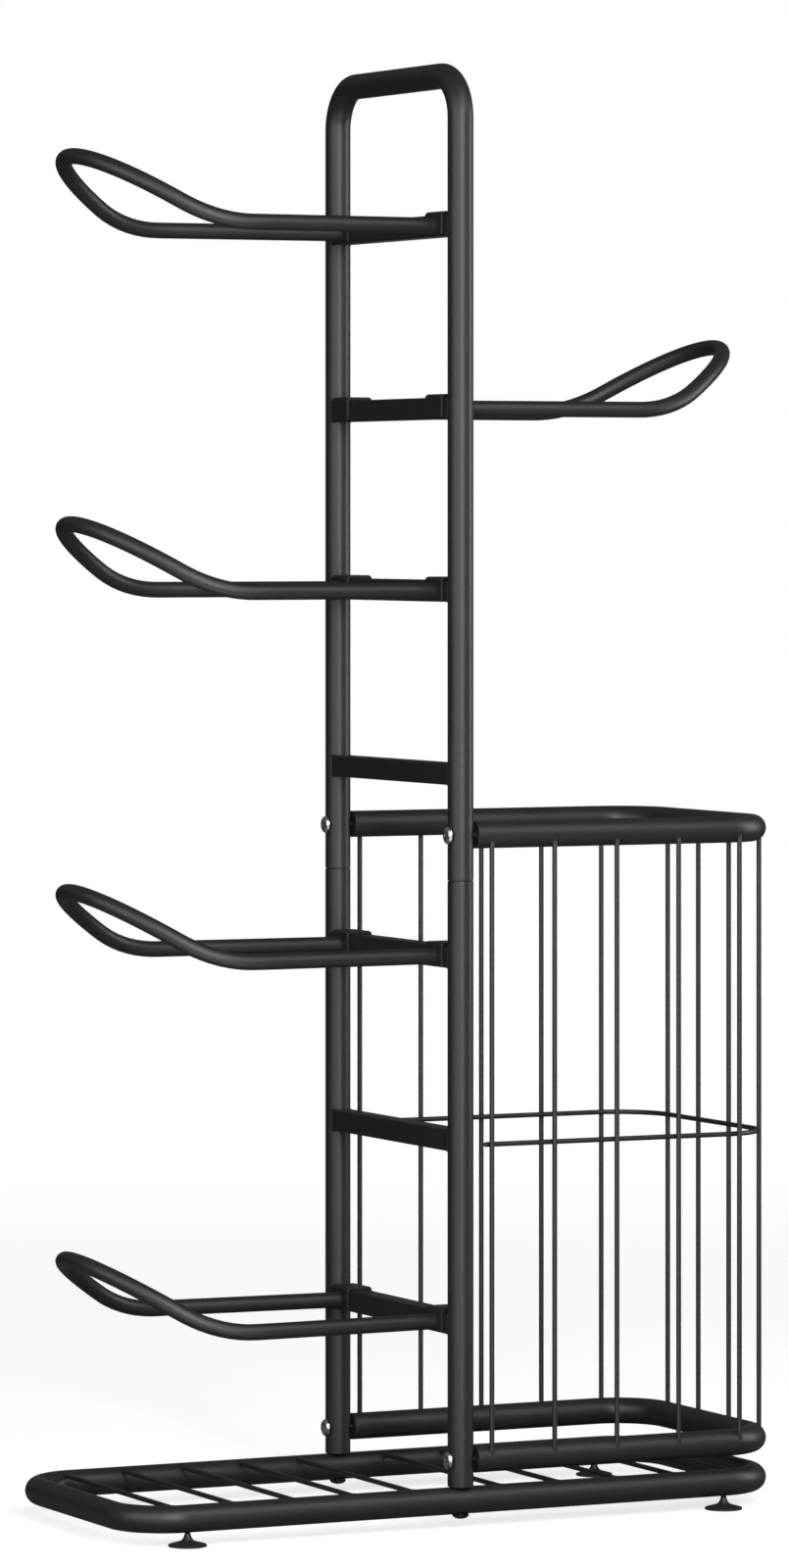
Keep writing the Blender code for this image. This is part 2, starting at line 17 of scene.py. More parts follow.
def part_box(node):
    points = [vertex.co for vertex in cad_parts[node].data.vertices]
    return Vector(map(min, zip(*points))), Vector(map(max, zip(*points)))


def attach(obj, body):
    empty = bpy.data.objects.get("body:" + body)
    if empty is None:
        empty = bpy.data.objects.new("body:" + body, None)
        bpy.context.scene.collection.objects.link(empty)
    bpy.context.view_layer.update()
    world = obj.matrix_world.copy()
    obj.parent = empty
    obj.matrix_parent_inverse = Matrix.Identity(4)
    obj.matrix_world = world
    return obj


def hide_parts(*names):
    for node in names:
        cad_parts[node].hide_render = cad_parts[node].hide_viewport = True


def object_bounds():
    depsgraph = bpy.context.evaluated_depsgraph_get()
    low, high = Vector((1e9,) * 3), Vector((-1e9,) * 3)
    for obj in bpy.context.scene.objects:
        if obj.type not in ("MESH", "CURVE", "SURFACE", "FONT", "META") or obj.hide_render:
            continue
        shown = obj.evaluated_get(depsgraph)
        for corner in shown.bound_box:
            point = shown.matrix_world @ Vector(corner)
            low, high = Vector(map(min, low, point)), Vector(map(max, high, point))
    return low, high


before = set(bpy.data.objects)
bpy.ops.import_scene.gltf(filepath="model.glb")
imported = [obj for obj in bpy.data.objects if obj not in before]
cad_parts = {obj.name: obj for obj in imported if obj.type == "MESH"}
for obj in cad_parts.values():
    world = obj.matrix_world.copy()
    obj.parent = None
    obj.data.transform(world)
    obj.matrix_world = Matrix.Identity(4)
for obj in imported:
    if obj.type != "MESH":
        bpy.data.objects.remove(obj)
cad_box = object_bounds()

# %% [markdown]
# ## Camera
#
# The photograph was taken from a long way off with a long lens, level, and cropped from a larger picture.
# A level camera keeps uprights parallel, so the crop becomes a lens shift and the camera isn't tilted.

# %% Camera at the photograph's place
CAMERA_PLACE = (-3.1087, -6.3833, 0.99225)
CAMERA_YAW = math.radians(-25.93)
FOCAL_PIXELS = 7243
PICTURE_HEIGHT_PIXELS = 1600
HORIZON_PIXELS = 528
SIDE_SHIFT_PIXELS = 0.4

camera_data = bpy.data.cameras.new("camera")
camera_data.sensor_width = 36
camera_data.lens = camera_data.sensor_width * FOCAL_PIXELS / PICTURE_HEIGHT_PIXELS
camera_data.shift_x = SIDE_SHIFT_PIXELS / PICTURE_HEIGHT_PIXELS
camera_data.shift_y = (HORIZON_PIXELS - PICTURE_HEIGHT_PIXELS / 2) / PICTURE_HEIGHT_PIXELS
camera = bpy.data.objects.new("camera", camera_data)
camera.location = CAMERA_PLACE
camera.rotation_euler = (math.pi / 2, 0, CAMERA_YAW)
bpy.context.scene.collection.objects.link(camera)
bpy.context.scene.camera = camera
print(f"lens {camera_data.lens:.1f} mm, shift {camera_data.shift_y:.3f}")

# %% [markdown]
# ## Sizes
#
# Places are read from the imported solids, so that each round piece lies on the many-sided one that it stands
# for. A many-sided tube is a little thinner than its round, so the diameters are named here.


# %% Sizes of the tubes, bars and wires
def middle(node):
    low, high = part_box(node)
    return (low + high) / 2


UPRIGHT_RADIUS = 0.0128
TUBE_WALL = 0.0015
BASE_RADIUS = 0.0134
RIM_RADIUS = 0.0134
HOLDER_RADIUS = 0.008
WIRE_RADIUS = 0.0025
BAR_HALF = 0.01075
RAIL_Y = middle("lower_upright_rear").y
LEVELS = {n: middle(f"crossbar_{n}").z for n in range(1, 8)}
print(f"uprights at y = {RAIL_Y:.4f}, bars from {LEVELS[7]:.4f} to {LEVELS[1]:.4f}")

# %% [markdown]
# ## Node trees as Python sums
#
# A material or a geometry tree is easier to read as a sum than as a list of links. One small class wraps a
# socket, so that `a * b + 0.1` adds the Math nodes, and one method adds any other node. What every later
# cell needs, such as an empty material or an object in the scene, has a short function too.


# %% A socket that can be added and multiplied
class Value:
    """A socket of a node tree. Sums of it add Math nodes."""

    def __init__(self, graph, socket):
        self.graph = graph
        self.socket = socket

    def math(self, operation, *values):
        return self.graph.add("ShaderNodeMath", dict(enumerate(values)), operation=operation)

    def __add__(self, other):
        return self.math("ADD", self, other)

    __radd__ = __add__

    def __sub__(self, other):
        return self.math("SUBTRACT", self, other)

    def __rsub__(self, other):
        return self.math("SUBTRACT", other, self)

    def __mul__(self, other):
        return self.math("MULTIPLY", self, other)

    __rmul__ = __mul__

    def __truediv__(self, other):
        return self.math("DIVIDE", self, other)

    def clamp(self, low=0.0, high=1.0):
        return self.math("MINIMUM", self.math("MAXIMUM", self, low), high)


# %% A tree that takes any node
class Graph:
    """A material's or a modifier's node tree."""

    def __init__(self, tree):
        self.tree = tree

    def add(self, kind, inputs=None, output=0, **settings):
        """A new node with its settings and the values or links of its inputs. Returns one output."""
        node = self.tree.nodes.new(kind)
        for name, value in settings.items():
            setattr(node, name, value)
        for key, value in (inputs or {}).items():
            self.feed(node.inputs[key], value)
        return Value(self, node.outputs[output]) if node.outputs else node

    def feed(self, socket, value):
        if isinstance(value, Value):
            self.tree.links.new(value.socket, socket)
        else:
            socket.default_value = value

    def measure(self, operation, *vectors):
        """A sum of vectors whose result is one number, such as a length."""
        return self.add("ShaderNodeVectorMath", dict(enumerate(vectors)), "Value", operation=operation)


# %% Short ways to a material, a mesh and an object
def new_material(name):
    """A material with an empty tree, that tree's graph, and the place on the object as a value."""
    material = bpy.data.materials.new(name)
    material.use_nodes = True
    material.node_tree.nodes.clear()
    graph = Graph(material.node_tree)
    return material, graph, graph.add("ShaderNodeTexCoord", output="Object")


def mixed_shader(graph, share, first, second):
    return graph.add("ShaderNodeMixShader", {"Fac": share, 1: first, 2: second})


def mesh_of(shape, name, finish=None):
    """A bmesh as a mesh, with its material where it has one."""
    mesh = bpy.data.meshes.new(name)
    shape.to_mesh(mesh)
    shape.free()
    if finish:
        mesh.materials.append(finish)
    return mesh


def scene_object(name, data):
    obj = bpy.data.objects.new(name, data)
    bpy.context.scene.collection.objects.link(obj)
    return obj


# %% [markdown]
# ## Floor and background
#
# The rack stands on white. A pale disc of floor takes its shadow and fades out into a white world, so no
# edge or horizon shows. White paper would also light the tubes from below, where the photograph has them
# dark. So only the camera sees the bright paper, and every other ray meets a dull one. A round pool of
# light lies on that, in front of the rack and to its left, and lifts the lower ends of the uprights.

# %% Floor that fades out
FLOOR_RADIUS = 5.0
FADE_START = 0.9
FADE_LENGTH = 2.6
FLOOR_SEEN = (0.50, 0.50, 0.50, 1)
FLOOR_GLOW = 0.70
FLOOR_TONE = (0.18, 0.18, 0.18, 1)
POOL_PLACE = (-0.62, -1.05, 0)
POOL_RADIUS = 0.95
POOL_GLOW = 2.7

floor_material, graph, place = new_material("pale_floor")
rays = graph.add("ShaderNodeLightPath", output="Is Camera Ray")
seen_paper = graph.add("ShaderNodeBsdfDiffuse", {"Color": FLOOR_SEEN})
paper_glow = graph.add("ShaderNodeEmission", {"Strength": FLOOR_GLOW})
bright_paper = graph.add("ShaderNodeAddShader", {0: seen_paper, 1: paper_glow})
dull_paper = graph.add("ShaderNodeBsdfDiffuse", {"Color": FLOOR_TONE})
pool = (1 - graph.measure("DISTANCE", place, POOL_PLACE) / POOL_RADIUS).clamp() * POOL_GLOW
lit_pool = graph.add("ShaderNodeEmission", {"Strength": pool})
pooled_paper = graph.add("ShaderNodeAddShader", {0: dull_paper, 1: lit_pool})
paper = mixed_shader(graph, rays, pooled_paper, bright_paper)
fade = ((graph.measure("LENGTH", place) - FADE_START) / FADE_LENGTH).clamp()
nothing = graph.add("ShaderNodeBsdfTransparent")
faded_paper = mixed_shader(graph, fade, paper, nothing)
graph.add("ShaderNodeOutputMaterial", {"Surface": faded_paper})

floor_shape = bmesh.new()
bmesh.ops.create_circle(floor_shape, cap_ends=True, segments=64, radius=FLOOR_RADIUS)
floor = scene_object("floor", mesh_of(floor_shape, "floor", floor_material))
print(f"floor: {FLOOR_RADIUS} m in radius, faded from {FADE_START} m")

# %% [markdown]
# ## World
#
# Black satin tube is mostly reflection, and its edges are dark in the photograph, because the studio beyond
# the white sheet was dark. So the world is white where the camera looks. Reflections see white only over
# the width of the sheet and up to a little above the horizon, a dim ceiling over it, and near black
# elsewhere, and soft light gets an even fill. Heights here are the Z of the direction that a ray goes.

# %% World: white to the camera, a white sheet in a dim studio to reflections
STUDIO_FILL = 0.15
STUDIO_GLOSS = 0.02
STUDIO_CEILING = 0.10
SHEET_EDGE = math.cos(math.radians(16))
SHEET_SOFT_EDGE = 0.05
SHEET_TOP = 0.05
SHEET_SOFT_TOP = 0.08
CEILING_START = 0.08
CEILING_SOFTNESS = 0.32

world = bpy.data.worlds.new("studio")
world.use_nodes = True
world.node_tree.nodes.clear()
bpy.context.scene.world = world
graph = Graph(world.node_tree)
to_sheet = Vector((-CAMERA_PLACE[0], -CAMERA_PLACE[1], 0)).normalized()
direction = graph.add("ShaderNodeTexCoord", output="Generated")
facing = graph.measure("DOT_PRODUCT", direction, to_sheet)
height = graph.measure("DOT_PRODUCT", direction, (0, 0, 1))
low_enough = 1 - ((height - SHEET_TOP) / SHEET_SOFT_TOP).clamp()
sheet = ((facing - SHEET_EDGE) / SHEET_SOFT_EDGE).clamp() * low_enough
camera_ray = graph.add("ShaderNodeLightPath", output="Is Camera Ray")
glossy_ray = graph.add("ShaderNodeLightPath", output="Is Glossy Ray")
clear_ray = graph.add("ShaderNodeLightPath", output="Is Transmission Ray")
mirror_ray = (glossy_ray + clear_ray).clamp()
ceiling = ((height - CEILING_START) / CEILING_SOFTNESS).clamp() * STUDIO_CEILING
mirrored = sheet * (1 - STUDIO_GLOSS) + STUDIO_GLOSS + ceiling
unseen = mirror_ray * mirrored + (1 - mirror_ray) * STUDIO_FILL
brightness = camera_ray + (1 - camera_ray) * unseen
background = graph.add("ShaderNodeBackground", {"Color": (1, 1, 1, 1), "Strength": brightness})
graph.add("ShaderNodeOutputWorld", {"Surface": background})
bpy.context.scene.view_settings.view_transform = "Standard"
print(f"world: fill {STUDIO_FILL}, gloss {STUDIO_GLOSS}, ceiling {STUDIO_CEILING}")

# %% [markdown]
# ## Lights
#
# The stripes of light on the near upright say where the lamps were, because a round tube is a mirror bent
# round its axis. A wide dim panel stands left of the camera, a narrow brighter one just right of it, and
# another lights the right-hand edge. The highlight high on the base tube comes from a panel above them.
# Each is placed by its turn and lift from the camera's side, so a stripe can be moved by one number.

# %% Soft panels, placed by the angle from the camera
AIM = Vector((0, 0, 0.72))
# Turn and lift in degrees, then distance, width and height in metres, and watts.
PANELS = {
    "wide_left": (-30, 14, 2.6, 3.5, 2.3, 57),
    "front_strip": (16, 12, 3.0, 0.42, 2.3, 54),
    "right_side": (98, 10, 2.4, 0.9, 1.7, 24),
    "overhead": (38, 38, 2.8, 2.2, 2.0, 28),
}


def soft_panel(name, turn, lift, far, width, height, watts):
    """A rectangle of light at an angle from the camera, positive to the right, that faces the rack."""
    away = Vector((CAMERA_PLACE[0], CAMERA_PLACE[1], 0)).normalized()
    away.rotate(Matrix.Rotation(math.radians(turn), 3, "Z"))
    away = away * math.cos(math.radians(lift)) + Vector((0, 0, math.sin(math.radians(lift))))
    data = bpy.data.lights.new(name, "AREA")
    data.shape = "RECTANGLE"
    data.size = width
    data.size_y = height
    data.energy = watts
    lamp = scene_object(name, data)
    lamp.location = AIM + away * far
    lamp.rotation_euler = away.to_track_quat("Z", "Y").to_euler()


for name, panel in PANELS.items():
    soft_panel(name, *panel)
print("panels:", len(PANELS))

# %% [markdown]
# ## Powder coat
#
# Powder coat is a thin plastic skin baked on to the steel. It isn't flat: it dries with a fine ripple like
# orange peel, a millimetre or so across, and its gloss drifts a little from place to place. Both are made
# from noise on Object coordinates, so they keep their size on every piece. The ripple feeds a Bump node and
# the drift feeds colour and roughness. Flat plate and weld metal shine less than tube in the photograph, so
# the coat has four settings of one recipe. Moulded plastic is the same recipe again, with a finer grain.

# %% A coated surface from noise
DRIFT_SIZE = 0.05


def noise(graph, place, size, detail=2.0):
    """Soft noise whose lumps are about this many metres across."""
    inputs = {"Vector": place, "Scale": 1 / size, "Detail": detail, "Roughness": 0.5}
    return graph.add("ShaderNodeTexNoise", inputs, noise_dimensions="3D")


def mixed_colour(graph, share, first, second):
    """Two colours mixed. The node keeps them in sockets 6 and 7, and its mixed colour in output 2."""
    colours = {"Factor": share, 6: (*first, 1), 7: (*second, 1)}
    return graph.add("ShaderNodeMix", colours, output=2, data_type="RGBA")


def finish_with(graph, tone, gloss, dullness, height, depth, **constant):
    """The last nodes of every finish: roughness between two limits, a bump, and the surface shader."""
    roughness = gloss[0] + (gloss[1] - gloss[0]) * dullness
    bump = graph.add("ShaderNodeBump", {"Strength": 1.0, "Distance": depth, "Height": height})
    inputs = {"Base Color": tone, "Roughness": roughness, "Normal": bump, **constant}
    shader = graph.add("ShaderNodeBsdfPrincipled", inputs)
    graph.add("ShaderNodeOutputMaterial", {"Surface": shader})


def coated(name, dark, light, gloss, ripple, depth, shine=0.5):
    """Powder coat or moulded plastic: two tones, (smooth, dull) roughness, ripple size and its depth."""
    material, graph, place = new_material(name)
    drift = noise(graph, place, DRIFT_SIZE)
    peel = noise(graph, place, ripple, 3.0)
    grit = noise(graph, place, ripple / 5)
    tone = mixed_colour(graph, (drift * 0.6 + grit * 0.4).clamp(), dark, light)
    dullness = drift * 0.5 + peel * 0.5
    height = peel * 0.8 + grit * 0.2
    finish_with(graph, tone, gloss, dullness, height, depth, **{"Specular IOR Level": shine})
    return material


POWDER_TONES = {"dark": (0.008, 0.008, 0.0085), "light": (0.014, 0.014, 0.0145)}
PLASTIC_TONES = {"dark": (0.010, 0.010, 0.0105), "light": (0.016, 0.016, 0.0165)}
COATS = {
    "tube": {"gloss": (0.37, 0.49), "ripple": 0.0018, "depth": 0.00007},
    "plate": {"gloss": (0.39, 0.51), "ripple": 0.0016, "depth": 0.00007, "shine": 0.32},
    "wire": {"gloss": (0.37, 0.49), "ripple": 0.0012, "depth": 0.00005},
    "weld": {"gloss": (0.46, 0.58), "ripple": 0.0009, "depth": 0.00006, "shine": 0.26},
}
POWDER = {name: coated(f"satin_coat_{name}", **POWDER_TONES, **coat) for name, coat in COATS.items()}
BLACK_PLASTIC = coated("moulded_plastic", **PLASTIC_TONES, gloss=(0.42, 0.54), ripple=0.0008, depth=0.00002)
print("coats:", *[coat.name for coat in POWDER.values()], BLACK_PLASTIC.name)

# %% [markdown]
# ## Zinc and blackened steel
#
# The domed bolts are bright zinc plate, with faint rings left by the tool that turned them and a dull bloom
# that comes and goes. The bolts under the base are the same shape but blackened, like the spacers and the
# studs of the feet. Both are metals, so their colour is the colour of their reflection.

# %% A plated metal with a blotchy bloom
BLOOM_SIZE = 0.004
SCRATCH_SIZE = 0.0003
SCRATCH_DEPTH = 0.00001


def plated(name, bright, dull, gloss):
    """Plated or blackened steel: its two tones and their (smooth, dull) roughness."""
    material, graph, place = new_material(name)
    bloom = noise(graph, place, BLOOM_SIZE, 3.0)
    scratch = noise(graph, place, SCRATCH_SIZE)
    tone = mixed_colour(graph, bloom, bright, dull)
    dullness = bloom * 0.7 + scratch * 0.3
    finish_with(graph, tone, gloss, dullness, scratch, SCRATCH_DEPTH, Metallic=1.0)
    return material


ZINC = plated("bright_zinc", (0.78, 0.77, 0.74), (0.62, 0.60, 0.57), (0.16, 0.34))
BLACK_STEEL = plated("blackened_steel", (0.05, 0.05, 0.052), (0.09, 0.088, 0.085), (0.30, 0.46))
print("metals:", ZINC.name, BLACK_STEEL.name)

# %% [markdown]
# ## A tube that follows a path
#
# Nearly everything on the rack is a round bar or tube bent along a line. Curves with a bevel could do it,
# but a Geometry Nodes tree gives every tube the same few named sizes: it turns a chain of edges into a
# curve and sweeps a ring along it, scaled by a thickness kept on the points. The ends are either capped, or
# left open for a Solidify modifier to give the tube its wall. Every finished piece is shaded so that its
# large faces lead, because an eased edge would otherwise bend the light along a whole flat or tube.

# %% Trees and the pieces grown with them
EASED_ANGLE = math.radians(50)
EASE_SEGMENTS = 2
SMOOTH_DEGREES = 38


def new_tree(name, sizes):
    """A geometry tree with named inputs and a finish. Returns it, its graph and a value for each input."""
    tree = bpy.data.node_groups.new(name, "GeometryNodeTree")
    for label, kind in {"Geometry": "Geometry", **sizes, "Finish": "Material"}.items():
        tree.interface.new_socket(label, in_out="INPUT", socket_type=f"NodeSocket{kind}")
    tree.interface.new_socket("Geometry", in_out="OUTPUT", socket_type="NodeSocketGeometry")
    graph = Graph(tree)
    ports = tree.nodes.new("NodeGroupInput").outputs
    return tree, graph, {port.name: Value(graph, port) for port in ports if port.name}


def end_tree(graph, shape, finish):
    """The last nodes of every tree: real geometry with its material."""
    real = graph.add("GeometryNodeRealizeInstances", {"Geometry": shape})
    coloured = graph.add("GeometryNodeSetMaterial", {"Geometry": real, "Material": finish})
    graph.add("NodeGroupOutput", {"Geometry": coloured})


def ring_profile(graph, sides, radius):
    """The round section that a tree sweeps along a line."""
    sizes = {"Resolution": sides, "Radius": radius}
    return graph.add("GeometryNodeCurvePrimitiveCircle", sizes, mode="RADIUS")


def swept(graph, line, profile, how):
    """A section swept along a line."""
    return graph.add("GeometryNodeCurveToMesh", {"Curve": line, "Profile Curve": profile, **how})


def stood(graph, points, shape, how):
    """A copy of a shape on every point."""
    return graph.add("GeometryNodeInstanceOnPoints", {"Points": points, "Instance": shape, **how})


def own_mesh(obj):
    """The evaluated shape of an object as a plain mesh. The object is removed."""
    bpy.context.view_layer.update()
    depsgraph = bpy.context.evaluated_depsgraph_get()
    mesh = bpy.data.meshes.new_from_object(obj.evaluated_get(depsgraph))
    bpy.data.objects.remove(obj, do_unlink=True)
    return mesh


def grown(tree, seed, sizes, wall=None, edge=None):
    """Runs a tree on a seed mesh and returns the result as a plain mesh, walled and with its edges eased."""
    obj = scene_object("growing", seed)
    modifier = obj.modifiers.new("shape", "NODES")
    modifier.node_group = tree
    for item in tree.interface.items_tree:
        if item.in_out == "INPUT" and item.name in sizes:
            modifier[item.identifier] = sizes[item.name]
    if wall:
        solidify = obj.modifiers.new("wall", "SOLIDIFY")
        solidify.thickness = wall
        solidify.offset = -1
    if edge:
        ease(obj, edge)
    return own_mesh(obj)


def ease(obj, width):
    """A small round on the sharp edges, which catches the light as a real edge does."""
    bevel = obj.modifiers.new("eased_edges", "BEVEL")
    bevel.width = width
    bevel.segments = EASE_SEGMENTS
    bevel.limit_method = "ANGLE"
    bevel.angle_limit = EASED_ANGLE


def chains_mesh(chains, closed=False, thickness=None):
    """Chains of points as a mesh of edges, with how thick the bar is at each point."""
    points = []
    edges = []
    for chain in chains:
        first = len(points)
        points += [tuple(point) for point in chain]
        edges += [(first + i, first + i + 1) for i in range(len(chain) - 1)]
        if closed:
            edges.append((first + len(chain) - 1, first))
    mesh = bpy.data.meshes.new("path")
    mesh.from_pydata(points, edges, [])
    values = mesh.attributes.new("thickness", "FLOAT", "POINT").data
    values.foreach_set("value", thickness or [1.0] * len(points))
    return mesh


def points_mesh(points):
    """Loose points, for a tree to stand something on each."""
    mesh = bpy.data.meshes.new("places")
    mesh.from_pydata(points, [], [])
    return mesh


def shaded(mesh, smooth):
    """The mesh smooth below an angle, its shading led by large faces, so an eased edge leaves flats flat."""
    mesh.shade_smooth()
    mesh.set_sharp_from_angle(angle=math.radians(smooth))
    obj = scene_object("shading", mesh)
    weights = obj.modifiers.new("large_faces_lead", "WEIGHTED_NORMAL")
    weights.mode = "FACE_AREA"
    weights.keep_sharp = True
    return own_mesh(obj)


def piece(name, mesh, body, slot, *nodes, smooth=SMOOTH_DEGREES):
    """A finished mesh as a piece of the rack, riding on its body."""
    mesh = shaded(mesh, smooth)
    obj = scene_object(name, mesh)
    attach(obj, body)
    if nodes:
        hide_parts(*nodes)
    mesh.calc_loop_triangles()
    print(f"{name}: {len(mesh.loop_triangles)} triangles")


# %% The tree of a round bar
bar_sizes = {"Radius": "Float", "Sides": "Int", "Caps": "Bool"}
ROUND_BAR, graph, size = new_tree("round_bar_along_path", bar_sizes)
line = graph.add("GeometryNodeMeshToCurve", {"Mesh": size["Geometry"]})
thickness = graph.add("GeometryNodeInputNamedAttribute", {"Name": "thickness"}, data_type="FLOAT")
ring = ring_profile(graph, size["Sides"], size["Radius"])
skin = swept(graph, line, ring, {"Scale": thickness, "Fill Caps": size["Caps"]})
end_tree(graph, skin, size["Finish"])


def round_bar(chains, radius, finish, sides, closed=False, thickness=None, wall=None, edge=None):
    """Round bars along chains of points, or tubes where they have a wall."""
    seed = chains_mesh(chains, closed, thickness)
    sizes = {"Radius": radius, "Sides": sides, "Caps": not wall and not closed, "Finish": finish}
    return grown(ROUND_BAR, seed, sizes, wall, edge)


# %% [markdown]
# ## The base tube and its outline
#
# One tube is bent into a rounded rectangle and welded shut. The basket's rims follow the same outline on the
# right, so one function gives the corner points, and two more give where the outline runs at any place.

# %% Outline shared by the base and the rims
CORNER_RADIUS = 0.052
CORNER_STEPS = 16
END_X = 0.3485
BASE_Z = 0.0267


def arc(centre, radius, first, last, steps=CORNER_STEPS):
    """Points of an arc in a plane, between two angles in degrees."""
    turns = [math.radians(first + (last - first) * i / steps) for i in range(steps + 1)]
    return [(centre[0] + radius * math.cos(t), centre[1] + radius * math.sin(t)) for t in turns]


def rounded_end(outset=0.0):
    """Plan of the right-hand end, front corner first, this far outside the tube's centre line."""
    x = END_X - CORNER_RADIUS
    y = RAIL_Y - CORNER_RADIUS
    radius = CORNER_RADIUS + outset
    return arc((x, -y), radius, -90, 0) + arc((x, y), radius, 0, 90)


def side_at(x, outset):
    """How far from the X axis the outline runs at this x."""
    along = max(abs(x) - (END_X - CORNER_RADIUS), 0)
    return RAIL_Y - CORNER_RADIUS + math.sqrt((CORNER_RADIUS + outset) ** 2 - along**2)


def end_at(y, outset):
    """How far along X the right-hand end of the outline runs at this y."""
    along = max(abs(y) - (RAIL_Y - CORNER_RADIUS), 0)
    return END_X - CORNER_RADIUS + math.sqrt((CORNER_RADIUS + outset) ** 2 - along**2)


right_end = [(x, y, BASE_Z) for x, y in rounded_end()]
left_end = [(-x, -y, z) for x, y, z in right_end]
base_mesh = round_bar([right_end + left_end], BASE_RADIUS, POWDER["tube"], sides=40, closed=True)
piece("base_tube", base_mesh, "frame", "powder_coat", "base_frame")

# %% [markdown]
# ## Uprights
#
# Each upright is in two lengths. The lower tube stands on the base, and the upper one is bent over at the
# top into a hoop, with its ends drawn down to slip inside the lower tubes. The joint shows as a fine dark
# line, so the meeting ends are eased and the drawn end is really there. The bottom of the lower tube is
# cut square and stands on the crest of the base tube, where a bolt from below holds it.

# %% Lower uprights
SPLIT_Z = 0.635
SOLID_GAP = 0.0003
FITTING_GAP = 0.0002
UPRIGHT_EDGE = 0.0003


def cylinder(radius, start, end, sides=64):
    """A mesh cylinder between two points, for cutting with."""
    shape = bmesh.new()
    along = Vector(end) - Vector(start)
    turn = along.to_track_quat("Z", "Y").to_matrix().to_4x4()
    place = Matrix.Translation((Vector(start) + Vector(end)) / 2) @ turn
    sizes = {"radius1": radius, "radius2": radius, "depth": along.length, "matrix": place}
    bmesh.ops.create_cone(shape, cap_ends=True, segments=sides, **sizes)
    return mesh_of(shape, "cutter")


def cut_mesh(mesh, cutters):
    """A mesh with some others cut out of it."""
    obj = scene_object("cutting", mesh)
    tools = [scene_object("cutter", cutter) for cutter in cutters]
    for tool in tools:
        boolean = obj.modifiers.new("cut", "BOOLEAN")
        boolean.operation = "DIFFERENCE"
        boolean.solver = "EXACT"
        boolean.object = tool
    result = own_mesh(obj)
    for tool in tools:
        bpy.data.objects.remove(tool, do_unlink=True)
    return result


for end, y in (("front", -RAIL_Y), ("rear", RAIL_Y)):
    foot_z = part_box(f"lower_upright_{end}")[0].z
    line = [(0, y, foot_z), (0, y, SPLIT_Z)]
    tube = round_bar([line], UPRIGHT_RADIUS, POWDER["tube"], sides=48, wall=TUBE_WALL, edge=UPRIGHT_EDGE)
    piece(f"upright_{end}", tube, "frame", "powder_coat", f"lower_upright_{end}")

# %% Hoop with its drawn ends
HOOP_BEND_RADIUS = 0.043
HOOP_STEPS = 20
NECK_LENGTH = 0.040
NECK_CLEARANCE = 0.0006
NECK_THICKNESS = (UPRIGHT_RADIUS - TUBE_WALL - NECK_CLEARANCE) / UPRIGHT_RADIUS
SHOULDER = [(0.0, NECK_THICKNESS), (0.0004, 0.985), (0.002, 1.0)]

hoop_top = cad_box[1].z - UPRIGHT_RADIUS
bend_y = RAIL_Y - HOOP_BEND_RADIUS
bend_z = hoop_top - HOOP_BEND_RADIUS
joint = SPLIT_Z + SOLID_GAP
front_leg = [(-RAIL_Y, SPLIT_Z - NECK_LENGTH)] + [(-RAIL_Y, joint + along) for along, _ in SHOULDER]
bend = arc((-bend_y, bend_z), HOOP_BEND_RADIUS, 180, 90, HOOP_STEPS)
bend += arc((bend_y, bend_z), HOOP_BEND_RADIUS, 90, 0, HOOP_STEPS)
rear_leg = [(-y, z) for y, z in reversed(front_leg)]
line = [(0, y, z) for y, z in front_leg + bend + rear_leg]
drawn = [NECK_THICKNESS] + [thick for _, thick in SHOULDER]
profile = drawn + [1.0] * len(bend) + drawn[::-1]
hoop = round_bar([line], UPRIGHT_RADIUS, POWDER["tube"], sides=48, thickness=profile, wall=TUBE_WALL)
piece("hoop", hoop, "frame", "powder_coat", "upper_hoop")

# %% [markdown]
# ## Square crossbars
#
# Seven lengths of square tube join the uprights. Square tube has rounded corners, and those are what show.
# A tree sweeps a filleted square along seven straight lines, and the ends are then coped round the uprights.

# %% The tree of a square bar
BAR_CORNER = 0.002
CORNER_POINTS = 5
CUTTER_LOW = 0.1
CUTTER_HIGH = 1.4

SQUARE_BAR, graph, size = new_tree("square_bar_along_path", {"Side": "Float", "Corner": "Float"})
line = graph.add("GeometryNodeMeshToCurve", {"Mesh": size["Geometry"]})
square = {"Width": size["Side"], "Height": size["Side"]}
outline = graph.add("GeometryNodeCurvePrimitiveQuadrilateral", square, mode="RECTANGLE")
fillet = {"Curve": outline, "Radius": size["Corner"], "Count": CORNER_POINTS}
outline = graph.add("GeometryNodeFilletCurve", fillet, mode="POLY")
end_tree(graph, swept(graph, line, outline, {}), size["Finish"])

# %% Seven bars, coped round the uprights
bar_lines = [[(0, -RAIL_Y, z), (0, RAIL_Y, z)] for z in LEVELS.values()]
sizes = {"Side": 2 * BAR_HALF, "Corner": BAR_CORNER, "Finish": POWDER["plate"]}
bars = grown(SQUARE_BAR, chains_mesh(bar_lines), sizes, wall=TUBE_WALL)
upright_shapes = []
for y in (-RAIL_Y, RAIL_Y):
    ends = (0, y, CUTTER_LOW), (0, y, CUTTER_HIGH)
    upright_shapes.append(cylinder(UPRIGHT_RADIUS - FITTING_GAP, *ends))
bars = cut_mesh(bars, upright_shapes)
piece("crossbars", bars, "frame", "powder_coat", *[f"crossbar_{n}" for n in LEVELS])

# %% [markdown]
# ## Welds
#
# A weld is a row of small overlapping puddles along a joint. The tree resamples the joint's path, swells
# and shrinks the bead by a sine wave with a little noise, and sweeps a ring along it. Each joint's path is
# worked out from the two surfaces that meet there, so the bead lies in the corner between them.

